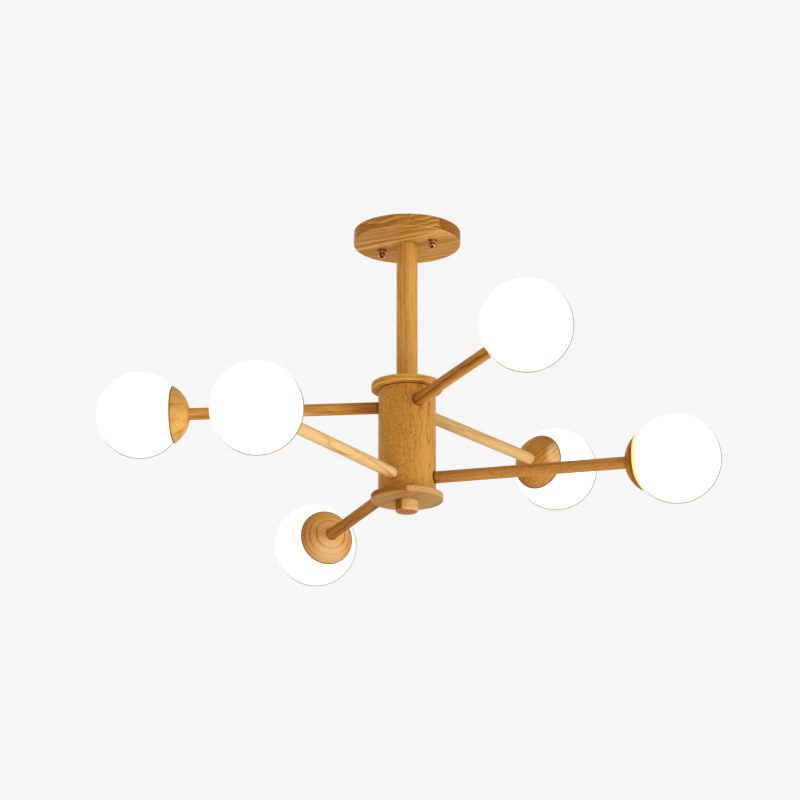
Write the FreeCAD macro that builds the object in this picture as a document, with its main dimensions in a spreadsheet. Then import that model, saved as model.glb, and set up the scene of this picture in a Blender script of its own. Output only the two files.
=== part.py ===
"""Ceiling light with six opal globes on turned wooden arms, as a parametric document.

Millimetres, +Z up.  The origin is the centre of the ceiling plate, on the ceiling, so the whole
light hangs below z = 0.  Odd arms leave the hub in the upper tier, even arms in the lower one.
"""
import FreeCAD, Part
import Sketcher

import os

V = FreeCAD.Vector

# Driving dimensions: lengths in millimetres, azimuths in degrees from +X.
SIZES = {
    "canopy_diameter": 149.0,
    "canopy_thickness": 18.4,
    "canopy_recess_diameter": 125.0,
    "canopy_floor": 4.8,
    "canopy_edge_round": 1.5,
    "bracket_length": 116.0,
    "bracket_width": 22.0,
    "bracket_gauge": 2.0,
    "bracket_azimuth": -23.0,
    "bracket_wire_hole": 14.0,
    "ceiling_hole_pitch": 54.0,
    "ceiling_hole_diameter": 5.0,
    "stud_pitch": 80.4,
    "stud_diameter": 4.0,
    "stud_hole_clearance": 0.4,
    "stud_nut_flats": 7.0,
    "stud_nut_height": 3.2,
    "ball_nut_collar_diameter": 12.5,
    "ball_nut_collar_height": 4.5,
    "ball_nut_diameter": 10.6,
    "ball_nut_drop": 8.2,
    "ball_nut_bore_depth": 7.0,
    "stud_engagement": 6.5,
    "terminal_length": 30.0,
    "terminal_depth": 16.0,
    "terminal_height": 9.0,
    "terminal_notch_width": 1.6,
    "terminal_notch_depth": 4.0,
    "terminal_wire_hole": 3.4,
    "terminal_wire_height": 3.0,
    "terminal_offset": 34.0,
    "terminal_screw_diameter": 4.0,
    "terminal_screw_height": 1.2,
    "terminal_screw_pitch": 8.0,
    "terminal_screw_slot": 0.8,
    "stem_diameter": 29.2,
    "stem_length": 204.8,
    "pipe_diameter": 10.0,
    "pipe_bore": 7.0,
    "pipe_clearance": 0.25,
    "pipe_proud": 1.5,
    "pipe_window_width": 5.0,
    "pipe_window_height": 40.0,
    "thread_clearance": 0.05,
    "nut_flats": 14.0,
    "nut_height": 4.0,
    "washer_diameter": 18.0,
    "washer_thickness": 1.5,
    "hub_disc_diameter": 98.5,
    "hub_disc_thickness": 8.8,
    "hub_disc_round": 1.2,
    "drum_diameter": 79.0,
    "drum_wall": 11.0,
    "drum_height": 148.8,
    "spigot_height": 4.0,
    "spigot_clearance": 0.2,
    "upper_tier_inset": 24.0,
    "lower_tier_inset": 21.3,
    "finial_diameter": 31.0,
    "finial_height": 16.0,
    "finial_round": 2.5,
    "finial_top_round": 0.8,
    "insert_diameter": 14.0,
    "insert_length": 10.0,
    "insert_bore_end": 1.0,
    "arm_diameter": 16.5,
    "arm_length": 271.0,
    "arm_socket_depth": 5.0,
    "arm_socket_clearance": 0.1,
    "nut_seat_depth": 0.6,
    "nut_seat_margin": 0.5,
    "cup_rim_diameter": 80.0,
    "cup_rim_lip": 1.8,
    "cup_rim_round": 0.7,
    "cup_socket_depth": 3.5,
    "cup_web": 3.4,
    "globe_diameter": 120.0,
    "globe_wall": 2.5,
    "globe_clearance": 0.5,
    "neck_diameter": 42.0,
    "neck_wall": 3.0,
    "neck_length": 5.5,
    "neck_clearance": 0.3,
    "gasket_thickness": 0.8,
    "gasket_gap": 0.3,
    "holder_flange_diameter": 24.0,
    "holder_flange_thickness": 4.0,
    "holder_diameter": 20.0,
    "holder_height": 22.0,
    "holder_thread_depth": 6.0,
    "holder_end_round": 1.0,
    "pin_pitch": 9.0,
    "pin_diameter": 1.8,
    "pin_length": 11.0,
    "pin_clearance": 0.3,
    "pin_hole_depth": 13.0,
    "bulb_gap": 0.2,
    "bulb_base_diameter": 14.0,
    "bulb_base_length": 9.0,
    "bulb_flare_length": 2.0,
    "bulb_diameter": 18.0,
    "bulb_length": 50.0,
    "azimuth_1": 60.0,
    "azimuth_2": 117.2,
    "azimuth_3": 180.0,
    "azimuth_4": 245.5,
    "azimuth_5": 300.0,
    "azimuth_6": 350.5,
}

# Heights below the ceiling, radii, and distances from the hub's axis, worked out from the sizes.
LAYOUT = {
    "recess_depth": "Sizes.canopy_thickness - Sizes.canopy_floor",
    "hub_top": "Sizes.canopy_thickness + Sizes.stem_length",
    "drum_top": "hub_top + Sizes.hub_disc_thickness",
    "drum_bottom": "drum_top + Sizes.drum_height",
    "hub_bottom": "drum_bottom + Sizes.hub_disc_thickness",
    "upper_tier": "drum_top + Sizes.upper_tier_inset",
    "lower_tier": "drum_bottom - Sizes.lower_tier_inset",
    "pipe_top": "recess_depth - Sizes.washer_thickness - Sizes.nut_height - Sizes.pipe_proud",
    "pipe_end": "hub_bottom + Sizes.insert_length",
    "pipe_hole": "Sizes.pipe_diameter / 2 + Sizes.pipe_clearance",
    "pipe_thread": "Sizes.pipe_diameter / 2 + Sizes.thread_clearance",
    "drum_inner": "Sizes.drum_diameter / 2 - Sizes.drum_wall",
    "spigot": "drum_inner - Sizes.spigot_clearance",
    "nut_seat": "drum_inner + Sizes.nut_seat_depth",
    "arm_pipe_start": "nut_seat - Sizes.washer_thickness - Sizes.nut_height - Sizes.pipe_proud",
    "arm_start": "Sizes.drum_diameter / 2 - Sizes.arm_socket_depth",
    "arm_end": "arm_start + Sizes.arm_length",
    "arm_socket": "Sizes.arm_diameter / 2 + Sizes.arm_socket_clearance",
    "cup_pole": "arm_end - Sizes.cup_socket_depth",
    "cup_floor": "arm_end + Sizes.cup_web",
    "arm_pipe_end": "cup_floor + Sizes.holder_thread_depth",
    "neck_end": "cup_floor + Sizes.gasket_thickness + Sizes.gasket_gap",
    "neck_root": "neck_end + Sizes.neck_length",
    "neck": "Sizes.neck_diameter / 2",
    "neck_bore": "neck - Sizes.neck_wall",
    "neck_pocket": "neck + Sizes.neck_clearance",
    "globe": "Sizes.globe_diameter / 2",
    "globe_inner": "globe - Sizes.globe_wall",
    "globe_seat": "globe + Sizes.globe_clearance",
    "globe_centre": "neck_root + sqrt(globe ^ 2 - neck ^ 2)",
    "cup_lip": "Sizes.cup_rim_diameter / 2 - Sizes.cup_rim_lip",
    "cup_rim": "globe_centre - sqrt(globe_seat ^ 2 - cup_lip ^ 2)",
    "cup_depth": "cup_rim - cup_pole",
    "cup_dome": "((Sizes.cup_rim_diameter / 2) ^ 2 + cup_depth ^ 2) / (2 * cup_depth)",
    "cup_mouth": "cup_pole + cup_dome - sqrt(cup_dome ^ 2 - arm_socket ^ 2)",
    "holder_top": "cup_floor + Sizes.holder_height",
    "bulb_start": "holder_top + Sizes.bulb_gap",
    "bulb_shoulder": "bulb_start + Sizes.bulb_base_length",
    "bulb_tip": "bulb_start + Sizes.bulb_length",
}

ARM_NUMBERS = tuple(int(name.removeprefix("azimuth_")) for name in SIZES if name.startswith("azimuth_"))
PAIR_SIDES = (1, -1)

doc = FreeCAD.newDocument("CeilingLight")
pieces = []


def fill_sheet():
    """Write each driving dimension to a cell with its name as the alias."""
    sheet = doc.addObject("Spreadsheet::Sheet", "Sizes")
    for row, (name, size) in enumerate(SIZES.items(), start=1):
        sheet.set(f"A{row}", name)
        sheet.set(f"B{row}", str(size))
        sheet.setAlias(f"B{row}", name)
    doc.recompute()
    return sheet


def work_out_layout():
    """Bind each derived dimension to the sheet, in a set of named values."""
    layout = doc.addObject("App::VarSet", "Layout")
    for name in LAYOUT:
        layout.addProperty("App::PropertyFloat", name)
    for name, formula in LAYOUT.items():
        layout.setExpression(name, formula)
    doc.recompute()
    return layout


sheet = fill_sheet()
layout = work_out_layout()


def value(formula):
    """Return the number that a formula of the sheet and layout stands for."""
    return float(sheet.evalExpression(formula))


def keep(piece, label):
    """Name a finished sub-part and list it for writing."""
    piece.Label = label
    pieces.append(piece)
    return piece


def hanging(depth):
    """Return the placement of a piece whose local base lies a depth below the ceiling."""
    return f"placement(vector(0; 0; -({depth})); rotation(vector(0; 0; 1); 0))"


def on_bracket_line(x, y, depth):
    """Return a placement given along and across the bracket, at a depth below the ceiling."""
    turn = "Sizes.bracket_azimuth"
    east = f"({x}) * cos({turn}) - ({y}) * sin({turn})"
    north = f"({x}) * sin({turn}) + ({y}) * cos({turn})"
    return f"placement(vector({east}; {north}; -({depth})); rotation(vector(0; 0; 1); {turn}))"


def tier_of(number):
    """Return the depth of an arm's tier: odd arms above, even arms below."""
    return "Layout.upper_tier" if number % 2 else "Layout.lower_tier"


def along_arm(number):
    """Return the placement that turns local +X onto an arm's centre line."""
    turn = f"Sizes.azimuth_{number}"
    return f"placement(vector(0; 0; -{tier_of(number)}); rotation(vector(0; 0; 1); {turn}))"


def across_arm(number, reach):
    """Return the placement that turns local +Z onto an arm's line, a reach out from the hub's axis."""
    turn = f"Sizes.azimuth_{number}"
    spot = f"vector(({reach}) * cos({turn}); ({reach}) * sin({turn}); -{tier_of(number)})"
    return f"placement({spot}; rotation(vector(0; 0; 1); {turn}) * rotation(vector(0; 1; 0); 90))"


def new_body(name, placement):
    """Start a body and bind its placement."""
    body = doc.addObject("PartDesign::Body", name)
    body.setExpression("Placement", placement)
    return body


def new_sketch(body, role, offset=None):
    """Start a sketch on one of the body's own origin planes, lifted by an optional formula."""
    sketch = body.newObject("Sketcher::SketchObject", "Sketch")
    plane = next(item for item in body.Origin.OriginFeatures if item.Role == role)
    sketch.AttachmentSupport = [(plane, "")]
    sketch.MapMode = "FlatFace"
    if offset is not None:
        sketch.setExpression("AttachmentOffset.Base.z", offset)
    return sketch


def bind(sketch, constraint, formula):
    """Bind a sketch's dimension to a formula."""
    sketch.setExpression(f"Constraints[{constraint}]", formula)


def fix_point(sketch, edge, end, x, y):
    """Hold a point of an edge at formulas of the sketch's own axes; an empty one means on the axis."""
    for kind, axis, formula in (("DistanceX", -2, x), ("DistanceY", -1, y)):
        if formula == "":
            sketch.addConstraint(Sketcher.Constraint("PointOnObject", edge, end, axis))
        else:
            dimension = Sketcher.Constraint(kind, -1, 1, edge, end, value(formula))
            bind(sketch, sketch.addConstraint(dimension), formula)


def draw_outline(sketch, corners, arcs=None):
    """Draw a closed outline through corners given as formulas.

    An arc replaces the edge that leaves its corner.  Its centre is given as formulas too, one of
    them empty: the centre lies on that axis, where its two ends fix it.
    """
    arcs = arcs or {}
    points = [V(value(x or "0"), value(y or "0"), 0) for x, y in corners]
    for index, start in enumerate(points):
        end = points[(index + 1) % len(points)]
        if index in arcs:
            x, y = arcs[index]
            centre = V(value(x or "0"), value(y or "0"), 0)
            sketch.addGeometry(arc_between(centre, start, end))
        else:
            sketch.addGeometry(Part.LineSegment(start, end))
    for index, (x, y) in enumerate(corners):
        following = (index + 1) % len(points)
        fix_point(sketch, index, start_of(index, points, arcs), x, y)
        joint = (index, end_of(index, points, arcs), following, start_of(following, points, arcs))
        sketch.addConstraint(Sketcher.Constraint("Coincident", *joint))
    for index, (x, y) in arcs.items():
        axis = -1 if y == "" else -2
        sketch.addConstraint(Sketcher.Constraint("PointOnObject", index, 3, axis))


def runs_anticlockwise(centre, start, end):
    """Tell whether the short way from start to end round a centre is anticlockwise."""
    return (start - centre).cross(end - centre).z > 0


def arc_between(centre, start, end):
    """Return the short arc round a centre between two points."""
    if not runs_anticlockwise(centre, start, end):
        start, end = end, start
    circle = Part.Circle(centre, V(0, 0, 1), (start - centre).Length)
    return Part.ArcOfCircle(circle, circle.parameter(start), circle.parameter(end))


def start_of(index, points, arcs):
    """Return which end of an edge lies on its own corner."""
    if index not in arcs:
        return 1
    x, y = arcs[index]
    centre = V(value(x or "0"), value(y or "0"), 0)
    return 1 if runs_anticlockwise(centre, points[index], points[(index + 1) % len(points)]) else 2


def end_of(index, points, arcs):
    """Return which end of an edge lies on the next corner."""
    return 3 - start_of(index, points, arcs)


def draw_circle(sketch, radius, x="", y=""):
    """Draw a circle whose radius and centre are formulas, the centre on an axis where empty."""
    centre = V(value(x or "0"), value(y or "0"), 0)
    edge = sketch.addGeometry(Part.Circle(centre, V(0, 0, 1), value(radius)))
    bind(sketch, sketch.addConstraint(Sketcher.Constraint("Radius", edge, value(radius))), radius)
    fix_point(sketch, edge, 3, x, y)
    return edge


def draw_circle_pair(sketch, radius, reach):
    """Draw two equal circles on the sketch's X axis, a reach to each side of the origin."""
    first = draw_circle(sketch, radius, reach)
    second = sketch.addGeometry(Part.Circle(V(-value(reach), 0, 0), V(0, 0, 1), value(radius)))
    sketch.addConstraint(Sketcher.Constraint("Equal", first, second))
    sketch.addConstraint(Sketcher.Constraint("Symmetric", first, 3, second, 3, -1, 1))


def turned_body(name, placement, corners, arcs=None, upright=True):
    """Return a body turned from a half outline, about its Z axis or, lying down, its X axis."""
    body = new_body(name, placement)
    sketch = new_sketch(body, "XZ_Plane" if upright else "XY_Plane")
    draw_outline(sketch, corners, arcs)
    turned = body.newObject("PartDesign::Revolution", "Turned")
    turned.Profile = sketch
    turned.ReferenceAxis = (sketch, ["V_Axis" if upright else "H_Axis"])
    turned.Angle = 360
    body.Tip = turned
    doc.recompute()
    return body


def tube_body(name, placement, outer, inner, length):
    """Return a body padded along its Z axis between two circles."""
    body = new_body(name, placement)
    sketch = new_sketch(body, "XY_Plane")
    draw_circle(sketch, outer)
    draw_circle(sketch, inner)
    pad_sketch(body, sketch, length)
    return body


def pad_sketch(body, sketch, length, back=False):
    """Pad a sketch by a formula, to the front or the back of its plane."""
    pad = body.newObject("PartDesign::Pad", "Pad")
    pad.Profile = sketch
    pad.setExpression("Length", length)
    pad.Reversed = back
    body.Tip = pad
    doc.recompute()
    return pad


def cut_through(body, sketch):
    """Cut a sketch right through the body, to both sides of its plane."""
    pocket = body.newObject("PartDesign::Pocket", "Pocket")
    pocket.Profile = sketch
    pocket.Type = "ThroughAll"
    pocket.Midplane = True
    body.Tip = pocket
    doc.recompute()
    return pocket


def cut_blind(body, sketch, depth, front=False):
    """Cut a sketch to a depth behind its plane or in front of it."""
    pocket = body.newObject("PartDesign::Pocket", "Pocket")
    pocket.Profile = sketch
    pocket.setExpression("Length", depth)
    pocket.Reversed = front
    body.Tip = pocket
    doc.recompute()
    return pocket


def round_rims(body, radius, rims, upright=True):
    """Round circular edges, each given as the formulas of its radius and its place on the axis."""
    base = body.Tip
    shape = base.Shape
    chosen = []
    for rim_radius, rim_place in rims:
        for index, edge in enumerate(shape.Edges, start=1):
            if not isinstance(edge.Curve, Part.Circle):
                continue
            centre = edge.Curve.Center
            place = centre.z if upright else centre.x
            same_radius = abs(edge.Curve.Radius - value(rim_radius)) < 1e-4
            if same_radius and abs(place - value(rim_place)) < 1e-4:
                chosen.append(f"Edge{index}")
    fillet = body.newObject("PartDesign::Fillet", "Round")
    fillet.Base = (base, chosen)
    fillet.setExpression("Radius", radius)
    body.Tip = fillet
    doc.recompute()


def cylinder(name, placement, radius, height):
    """Return a plain cylinder along its own Z axis."""
    rod = doc.addObject("Part::Cylinder", name)
    rod.setExpression("Radius", radius)
    rod.setExpression("Height", height)
    rod.setExpression("Placement", placement)
    return rod


def ring(name, placement, outer, inner, height):
    """Return a flat ring along its own Z axis."""
    washer = doc.addObject("Part::Cut", name)
    washer.Base = cylinder(f"{name}Disc", placement, outer, height)
    washer.Tool = cylinder(f"{name}Bore", placement, inner, height)
    return washer


def hex_nut(name, placement, flats, bore, height):
    """Return a hexagonal nut along its own Z axis."""
    prism = doc.addObject("Part::Prism", f"{name}Prism")
    prism.Polygon = 6
    prism.setExpression("Circumradius", f"({flats}) / sqrt(3)")
    prism.setExpression("Height", height)
    prism.setExpression("Placement", placement)
    nut = doc.addObject("Part::Cut", name)
    nut.Base = prism
    nut.Tool = cylinder(f"{name}Bore", placement, bore, height)
    return nut


def group(label, members):
    """Join equal pieces in one sub-part, each still a solid of its own."""
    compound = doc.addObject("Part::Compound", label)
    compound.Links = members
    return keep(compound, label)


def make_canopy():
    """Turn the ceiling disc with its recess, and drill it for the pipe and the two studs."""
    outer = "Sizes.canopy_diameter / 2"
    recess = "Sizes.canopy_recess_diameter / 2"
    corners = [
        ("Layout.pipe_hole", ""),
        (outer, ""),
        (outer, "Sizes.canopy_thickness"),
        (recess, "Sizes.canopy_thickness"),
        (recess, "Sizes.canopy_floor"),
        ("Layout.pipe_hole", "Sizes.canopy_floor"),
    ]
    body = turned_body("Canopy", on_bracket_line("0", "0", "Sizes.canopy_thickness"), corners)
    sketch = new_sketch(body, "XY_Plane")
    draw_circle(sketch, "Sizes.stud_diameter / 2 + Sizes.stud_hole_clearance", "Sizes.stud_pitch / 2")
    hole = cut_through(body, sketch)
    pair = body.newObject("PartDesign::PolarPattern", "StudHoles")
    pair.Originals = [hole]
    pair.Axis = (sketch, ["N_Axis"])
    pair.Angle = 360
    pair.Occurrences = 2
    body.Tip = pair
    doc.recompute()
    round_rims(body, "Sizes.canopy_edge_round", [(outer, "0"), (outer, "Sizes.canopy_thickness")])
    keep(body, "canopy_disc")


def make_bracket():
    """Cut the ceiling strap: round ends, a wire hole, two ceiling holes and two stud holes."""
    body = new_body("Bracket", on_bracket_line("0", "0", "Sizes.bracket_gauge"))
    sketch = new_sketch(body, "XY_Plane")
    reach = "(Sizes.bracket_length - Sizes.bracket_width) / 2"
    half = "Sizes.bracket_width / 2"
    x, y = value(reach), value(half)
    front = sketch.addGeometry(Part.LineSegment(V(-x, -y, 0), V(x, -y, 0)))
    back = sketch.addGeometry(Part.LineSegment(V(x, y, 0), V(-x, y, 0)))
    right = sketch.addGeometry(arc_half_turn(V(x, 0, 0), y, -1))
    left = sketch.addGeometry(arc_half_turn(V(-x, 0, 0), y, 1))
    for pair in ((front, 2, right, 1), (right, 2, back, 1), (back, 2, left, 1), (left, 2, front, 1)):
        sketch.addConstraint(Sketcher.Constraint("Tangent", *pair))
    fix_point(sketch, right, 3, reach, "")
    sketch.addConstraint(Sketcher.Constraint("Symmetric", right, 3, left, 3, -1, 1))
    bind(sketch, sketch.addConstraint(Sketcher.Constraint("Radius", right, y)), half)
    draw_circle(sketch, "Sizes.bracket_wire_hole / 2")
    draw_circle_pair(sketch, "Sizes.ceiling_hole_diameter / 2", "Sizes.ceiling_hole_pitch / 2")
    draw_circle_pair(sketch, "Sizes.stud_diameter / 2 + Sizes.thread_clearance", "Sizes.stud_pitch / 2")
    pad_sketch(body, sketch, "Sizes.bracket_gauge")
    keep(body, "ceiling_bracket")


def arc_half_turn(centre, radius, side):
    """Return a half circle that starts below its centre (side -1) or above it (side 1)."""
    quarter = 1.5707963267948966
    circle = Part.Circle(centre, V(0, 0, 1), radius)
    return Part.ArcOfCircle(circle, side * quarter, (side + 2) * quarter)


def make_studs():
    """Hang the two studs, their lock nuts and the ball-ended nuts that carry the canopy."""
    studs = []
    lock_nuts = []
    ball_nuts = []
    thread = "Sizes.stud_diameter / 2 + Sizes.thread_clearance"
    bottom = "Sizes.canopy_thickness + Sizes.stud_engagement"
    for index, side in enumerate(PAIR_SIDES, start=1):
        x = f"{side} * Sizes.stud_pitch / 2"
        stud_spot = on_bracket_line(x, "0", bottom)
        studs.append(cylinder(f"Stud{index}", stud_spot, "Sizes.stud_diameter / 2", bottom))
        nut_spot = on_bracket_line(x, "0", "Sizes.bracket_gauge + Sizes.stud_nut_height")
        nut = hex_nut(f"LockNut{index}", nut_spot, "Sizes.stud_nut_flats", thread, "Sizes.stud_nut_height")
        lock_nuts.append(nut)
        ball_nuts.append(ball_nut(index, x, thread))
    group("canopy_studs", studs)
    group("stud_lock_nuts", lock_nuts)
    group("ball_nuts", ball_nuts)


def ball_nut(index, x, thread):
    """Turn one ball-ended nut: a collar, a ball under it and a blind threaded bore."""
    ball = "Sizes.ball_nut_diameter / 2"
    total = f"Sizes.ball_nut_drop + {ball}"
    collar = "Sizes.ball_nut_collar_diameter / 2"
    collar_face = f"{total} - Sizes.ball_nut_collar_height"
    bore_end = f"{total} - Sizes.ball_nut_bore_depth"
    reach = "Sizes.ball_nut_drop - Sizes.ball_nut_collar_height"
    corners = [
        ("", ""),
        (f"sqrt(({ball}) ^ 2 - ({reach}) ^ 2)", collar_face),
        (collar, collar_face),
        (collar, total),
        (thread, total),
        (thread, bore_end),
        ("", bore_end),
    ]
    spot = on_bracket_line(x, "0", f"Sizes.canopy_thickness + {total}")
    return turned_body(f"BallNut{index}", spot, corners, {0: ("", ball)})


def make_terminal():
    """Pad the comb-shaped terminal block with its wire holes, and set its six screws on it."""
    half = "Sizes.terminal_length / 2"
    pole = "(Sizes.terminal_length - 2 * Sizes.terminal_notch_width) / 3"
    notch_floor = "Sizes.terminal_height - Sizes.terminal_notch_depth"
    notch_start = f"{pole}"
    notch_end = f"{pole} + Sizes.terminal_notch_width"
    second_start = f"2 * {pole} + Sizes.terminal_notch_width"
    second_end = f"2 * {pole} + 2 * Sizes.terminal_notch_width"
    corners = [
        ("", ""),
        ("Sizes.terminal_length", ""),
        ("Sizes.terminal_length", "Sizes.terminal_height"),
        (second_end, "Sizes.terminal_height"),
        (second_end, notch_floor),
        (second_start, notch_floor),
        (second_start, "Sizes.terminal_height"),
        (notch_end, "Sizes.terminal_height"),
        (notch_end, notch_floor),
        (notch_start, notch_floor),
        (notch_start, "Sizes.terminal_height"),
        ("", "Sizes.terminal_height"),
    ]
    back = "Sizes.terminal_offset + Sizes.terminal_depth / 2"
    body = new_body("Terminal", on_bracket_line(f"-({half})", back, "Layout.recess_depth"))
    sketch = new_sketch(body, "XZ_Plane")
    draw_outline(sketch, corners)
    pitch = f"({pole} + Sizes.terminal_notch_width)"
    poles = [f"{pole} / 2 + {step} * {pitch}" for step in range(3)]
    for centre in poles:
        draw_circle(sketch, "Sizes.terminal_wire_hole / 2", centre, "Sizes.terminal_wire_height")
    pad_sketch(body, sketch, "Sizes.terminal_depth")
    keep(body, "terminal_block")

    screws = []
    top = "Layout.recess_depth - Sizes.terminal_height"
    for step, centre in enumerate(poles, start=1):
        for row, side in enumerate(PAIR_SIDES, start=1):
            y = f"Sizes.terminal_offset + {side} * Sizes.terminal_screw_pitch / 2"
            spot = on_bracket_line(f"{centre} - {half}", y, top)
            screws.append(slotted_screw(f"TerminalScrew{step}{row}", spot, f"{centre} - {half}", y, top))
    group("terminal_screws", screws)


def slotted_screw(name, spot, x, y, depth):
    """Return a flat screw head with a driver slot across half its height."""
    screw = doc.addObject("Part::Cut", name)
    screw.Base = cylinder(f"{name}Head", spot, "Sizes.terminal_screw_diameter / 2",
                          "Sizes.terminal_screw_height")
    slot = doc.addObject("Part::Box", f"{name}Slot")
    slot.setExpression("Length", "Sizes.terminal_screw_diameter * 2")
    slot.setExpression("Width", "Sizes.terminal_screw_slot")
    slot.setExpression("Height", "Sizes.terminal_screw_height")
    corner = on_bracket_line(f"{x} - Sizes.terminal_screw_diameter", f"{y} - Sizes.terminal_screw_slot / 2",
                             f"{depth} - Sizes.terminal_screw_height / 2")
    slot.setExpression("Placement", corner)
    screw.Tool = slot
    return screw


def make_stem():
    """Make the stem and the hollow pipe that runs from the canopy to the finial."""
    stem = tube_body("Stem", hanging("Layout.hub_top"), "Sizes.stem_diameter / 2", "Layout.pipe_hole",
                     "Sizes.stem_length")
    keep(stem, "stem")

    pipe = tube_body("LampPipe", hanging("Layout.pipe_end"), "Sizes.pipe_diameter / 2", "Sizes.pipe_bore / 2",
                     "Layout.pipe_end - Layout.pipe_top")
    # The wires leave the pipe through a window half way down the drum.
    middle = "Layout.pipe_end - (Layout.drum_top + Layout.drum_bottom) / 2"
    window = new_sketch(pipe, "YZ_Plane")
    half_width = "Sizes.pipe_window_width / 2"
    draw_window(window, half_width, f"{middle} - Sizes.pipe_window_height / 2",
                f"{middle} + Sizes.pipe_window_height / 2")
    cut_blind(pipe, window, "Sizes.pipe_diameter", front=True)
    keep(pipe, "lamp_pipe")

    nut_tops = ("Layout.recess_depth - Sizes.washer_thickness",
                "Layout.drum_top + Sizes.spigot_height + Sizes.washer_thickness + Sizes.nut_height")
    washer_tops = ("Layout.recess_depth",
                   "Layout.drum_top + Sizes.spigot_height + Sizes.washer_thickness")
    nuts = [hex_nut(f"PipeNut{index}", hanging(depth), "Sizes.nut_flats", "Layout.pipe_thread",
                    "Sizes.nut_height") for index, depth in enumerate(nut_tops, start=1)]
    washers = [ring(f"PipeWasher{index}", hanging(depth), "Sizes.washer_diameter / 2", "Layout.pipe_hole",
                    "Sizes.washer_thickness") for index, depth in enumerate(washer_tops, start=1)]
    group("pipe_nuts", nuts)
    group("pipe_washers", washers)


def draw_window(sketch, half_width, low, high):
    """Draw a rectangle that is even about the sketch's Y axis, between two heights."""
    x, bottom, top = value(half_width), value(low), value(high)
    corners = (V(-x, bottom, 0), V(x, bottom, 0), V(x, top, 0), V(-x, top, 0))
    for index, start in enumerate(corners):
        sketch.addGeometry(Part.LineSegment(start, corners[(index + 1) % 4]))
    for index in range(4):
        sketch.addConstraint(Sketcher.Constraint("Coincident", index, 2, (index + 1) % 4, 1))
    for level in (0, 2):
        sketch.addConstraint(Sketcher.Constraint("Symmetric", level, 1, level, 2, -2))
    fix_point(sketch, 1, 1, half_width, low)
    fix_point(sketch, 1, 2, half_width, high)


def make_hub():
    """Turn the two hub discs, bore the drum for the arms and close the hub with the finial."""
    disc = "Sizes.hub_disc_diameter / 2"
    shoulder = "Sizes.spigot_height"
    top = "Sizes.spigot_height + Sizes.hub_disc_thickness"
    corners = [
        ("Layout.pipe_hole", ""),
        ("Layout.spigot", ""),
        ("Layout.spigot", shoulder),
        (disc, shoulder),
        (disc, top),
        ("Layout.pipe_hole", top),
    ]
    upper = turned_body("HubTop", hanging("Layout.drum_top + Sizes.spigot_height"), corners)
    round_rims(upper, "Sizes.hub_disc_round", [(disc, shoulder), (disc, top)])
    keep(upper, "hub_top_disc")

    rim = "Sizes.hub_disc_thickness"
    corners = [
        ("Layout.pipe_hole", ""),
        (disc, ""),
        (disc, rim),
        ("Layout.spigot", rim),
        ("Layout.spigot", top),
        ("Layout.pipe_hole", top),
    ]
    lower = turned_body("HubBottom", hanging("Layout.hub_bottom"), corners)
    round_rims(lower, "Sizes.hub_disc_round", [(disc, "0"), (disc, rim)])
    keep(lower, "hub_bottom_disc")

    make_drum()
    make_finial()


def make_drum():
    """Make the drum and, for each arm, a flat socket outside, a through hole and a nut seat inside."""
    drum = tube_body("Drum", hanging("Layout.drum_bottom"), "Sizes.drum_diameter / 2", "Layout.drum_inner",
                     "Sizes.drum_height")
    for number in ARM_NUMBERS:
        depth = f"Layout.drum_bottom - {tier_of(number)}"
        seat = "Sizes.washer_diameter / 2 + Sizes.nut_seat_margin"
        bore_radial(drum, number, depth, "Layout.arm_socket", "Layout.arm_start", "Sizes.drum_diameter / 2")
        bore_radial(drum, number, depth, "Layout.pipe_hole", "Layout.drum_inner / 2", "Sizes.drum_diameter / 2")
        bore_radial(drum, number, depth, seat, "Layout.drum_inner / 2", "Layout.nut_seat")
    keep(drum, "hub_drum")


def bore_radial(drum, number, height, radius, start, end):
    """Bore the drum along an arm's line, between two distances from its axis."""
    turn = f"Sizes.azimuth_{number}"
    hole = drum.newObject("PartDesign::SubtractiveCylinder", "Bore")
    hole.setExpression("Radius", radius)
    hole.setExpression("Height", f"{end} - {start}")
    spot = f"vector(({start}) * cos({turn}); ({start}) * sin({turn}); {height})"
    aim = f"rotation(vector(0; 0; 1); {turn}) * rotation(vector(0; 1; 0); 90)"
    hole.setExpression("Placement", f"placement({spot}; {aim})")
    drum.Tip = hole
    doc.recompute()


def make_finial():
    """Turn the finial and the threaded insert that holds it on the pipe's end."""
    outer = "Sizes.finial_diameter / 2"
    hole = "Sizes.insert_diameter / 2 + Sizes.thread_clearance"
    hole_end = "Sizes.finial_height - Sizes.insert_length - Sizes.insert_bore_end"
    corners = [
        ("", ""),
        (outer, ""),
        (outer, "Sizes.finial_height"),
        (hole, "Sizes.finial_height"),
        (hole, hole_end),
        ("", hole_end),
    ]
    finial = turned_body("Finial", hanging("Layout.hub_bottom + Sizes.finial_height"), corners)
    round_rims(finial, "Sizes.finial_round", [(outer, "0")])
    round_rims(finial, "Sizes.finial_top_round", [(outer, "Sizes.finial_height")])
    keep(finial, "finial")

    insert = tube_body("FinialInsert", hanging("Layout.hub_bottom + Sizes.insert_length"),
                       "Sizes.insert_diameter / 2", "Layout.pipe_thread", "Sizes.insert_length")
    keep(insert, "finial_insert")


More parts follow.
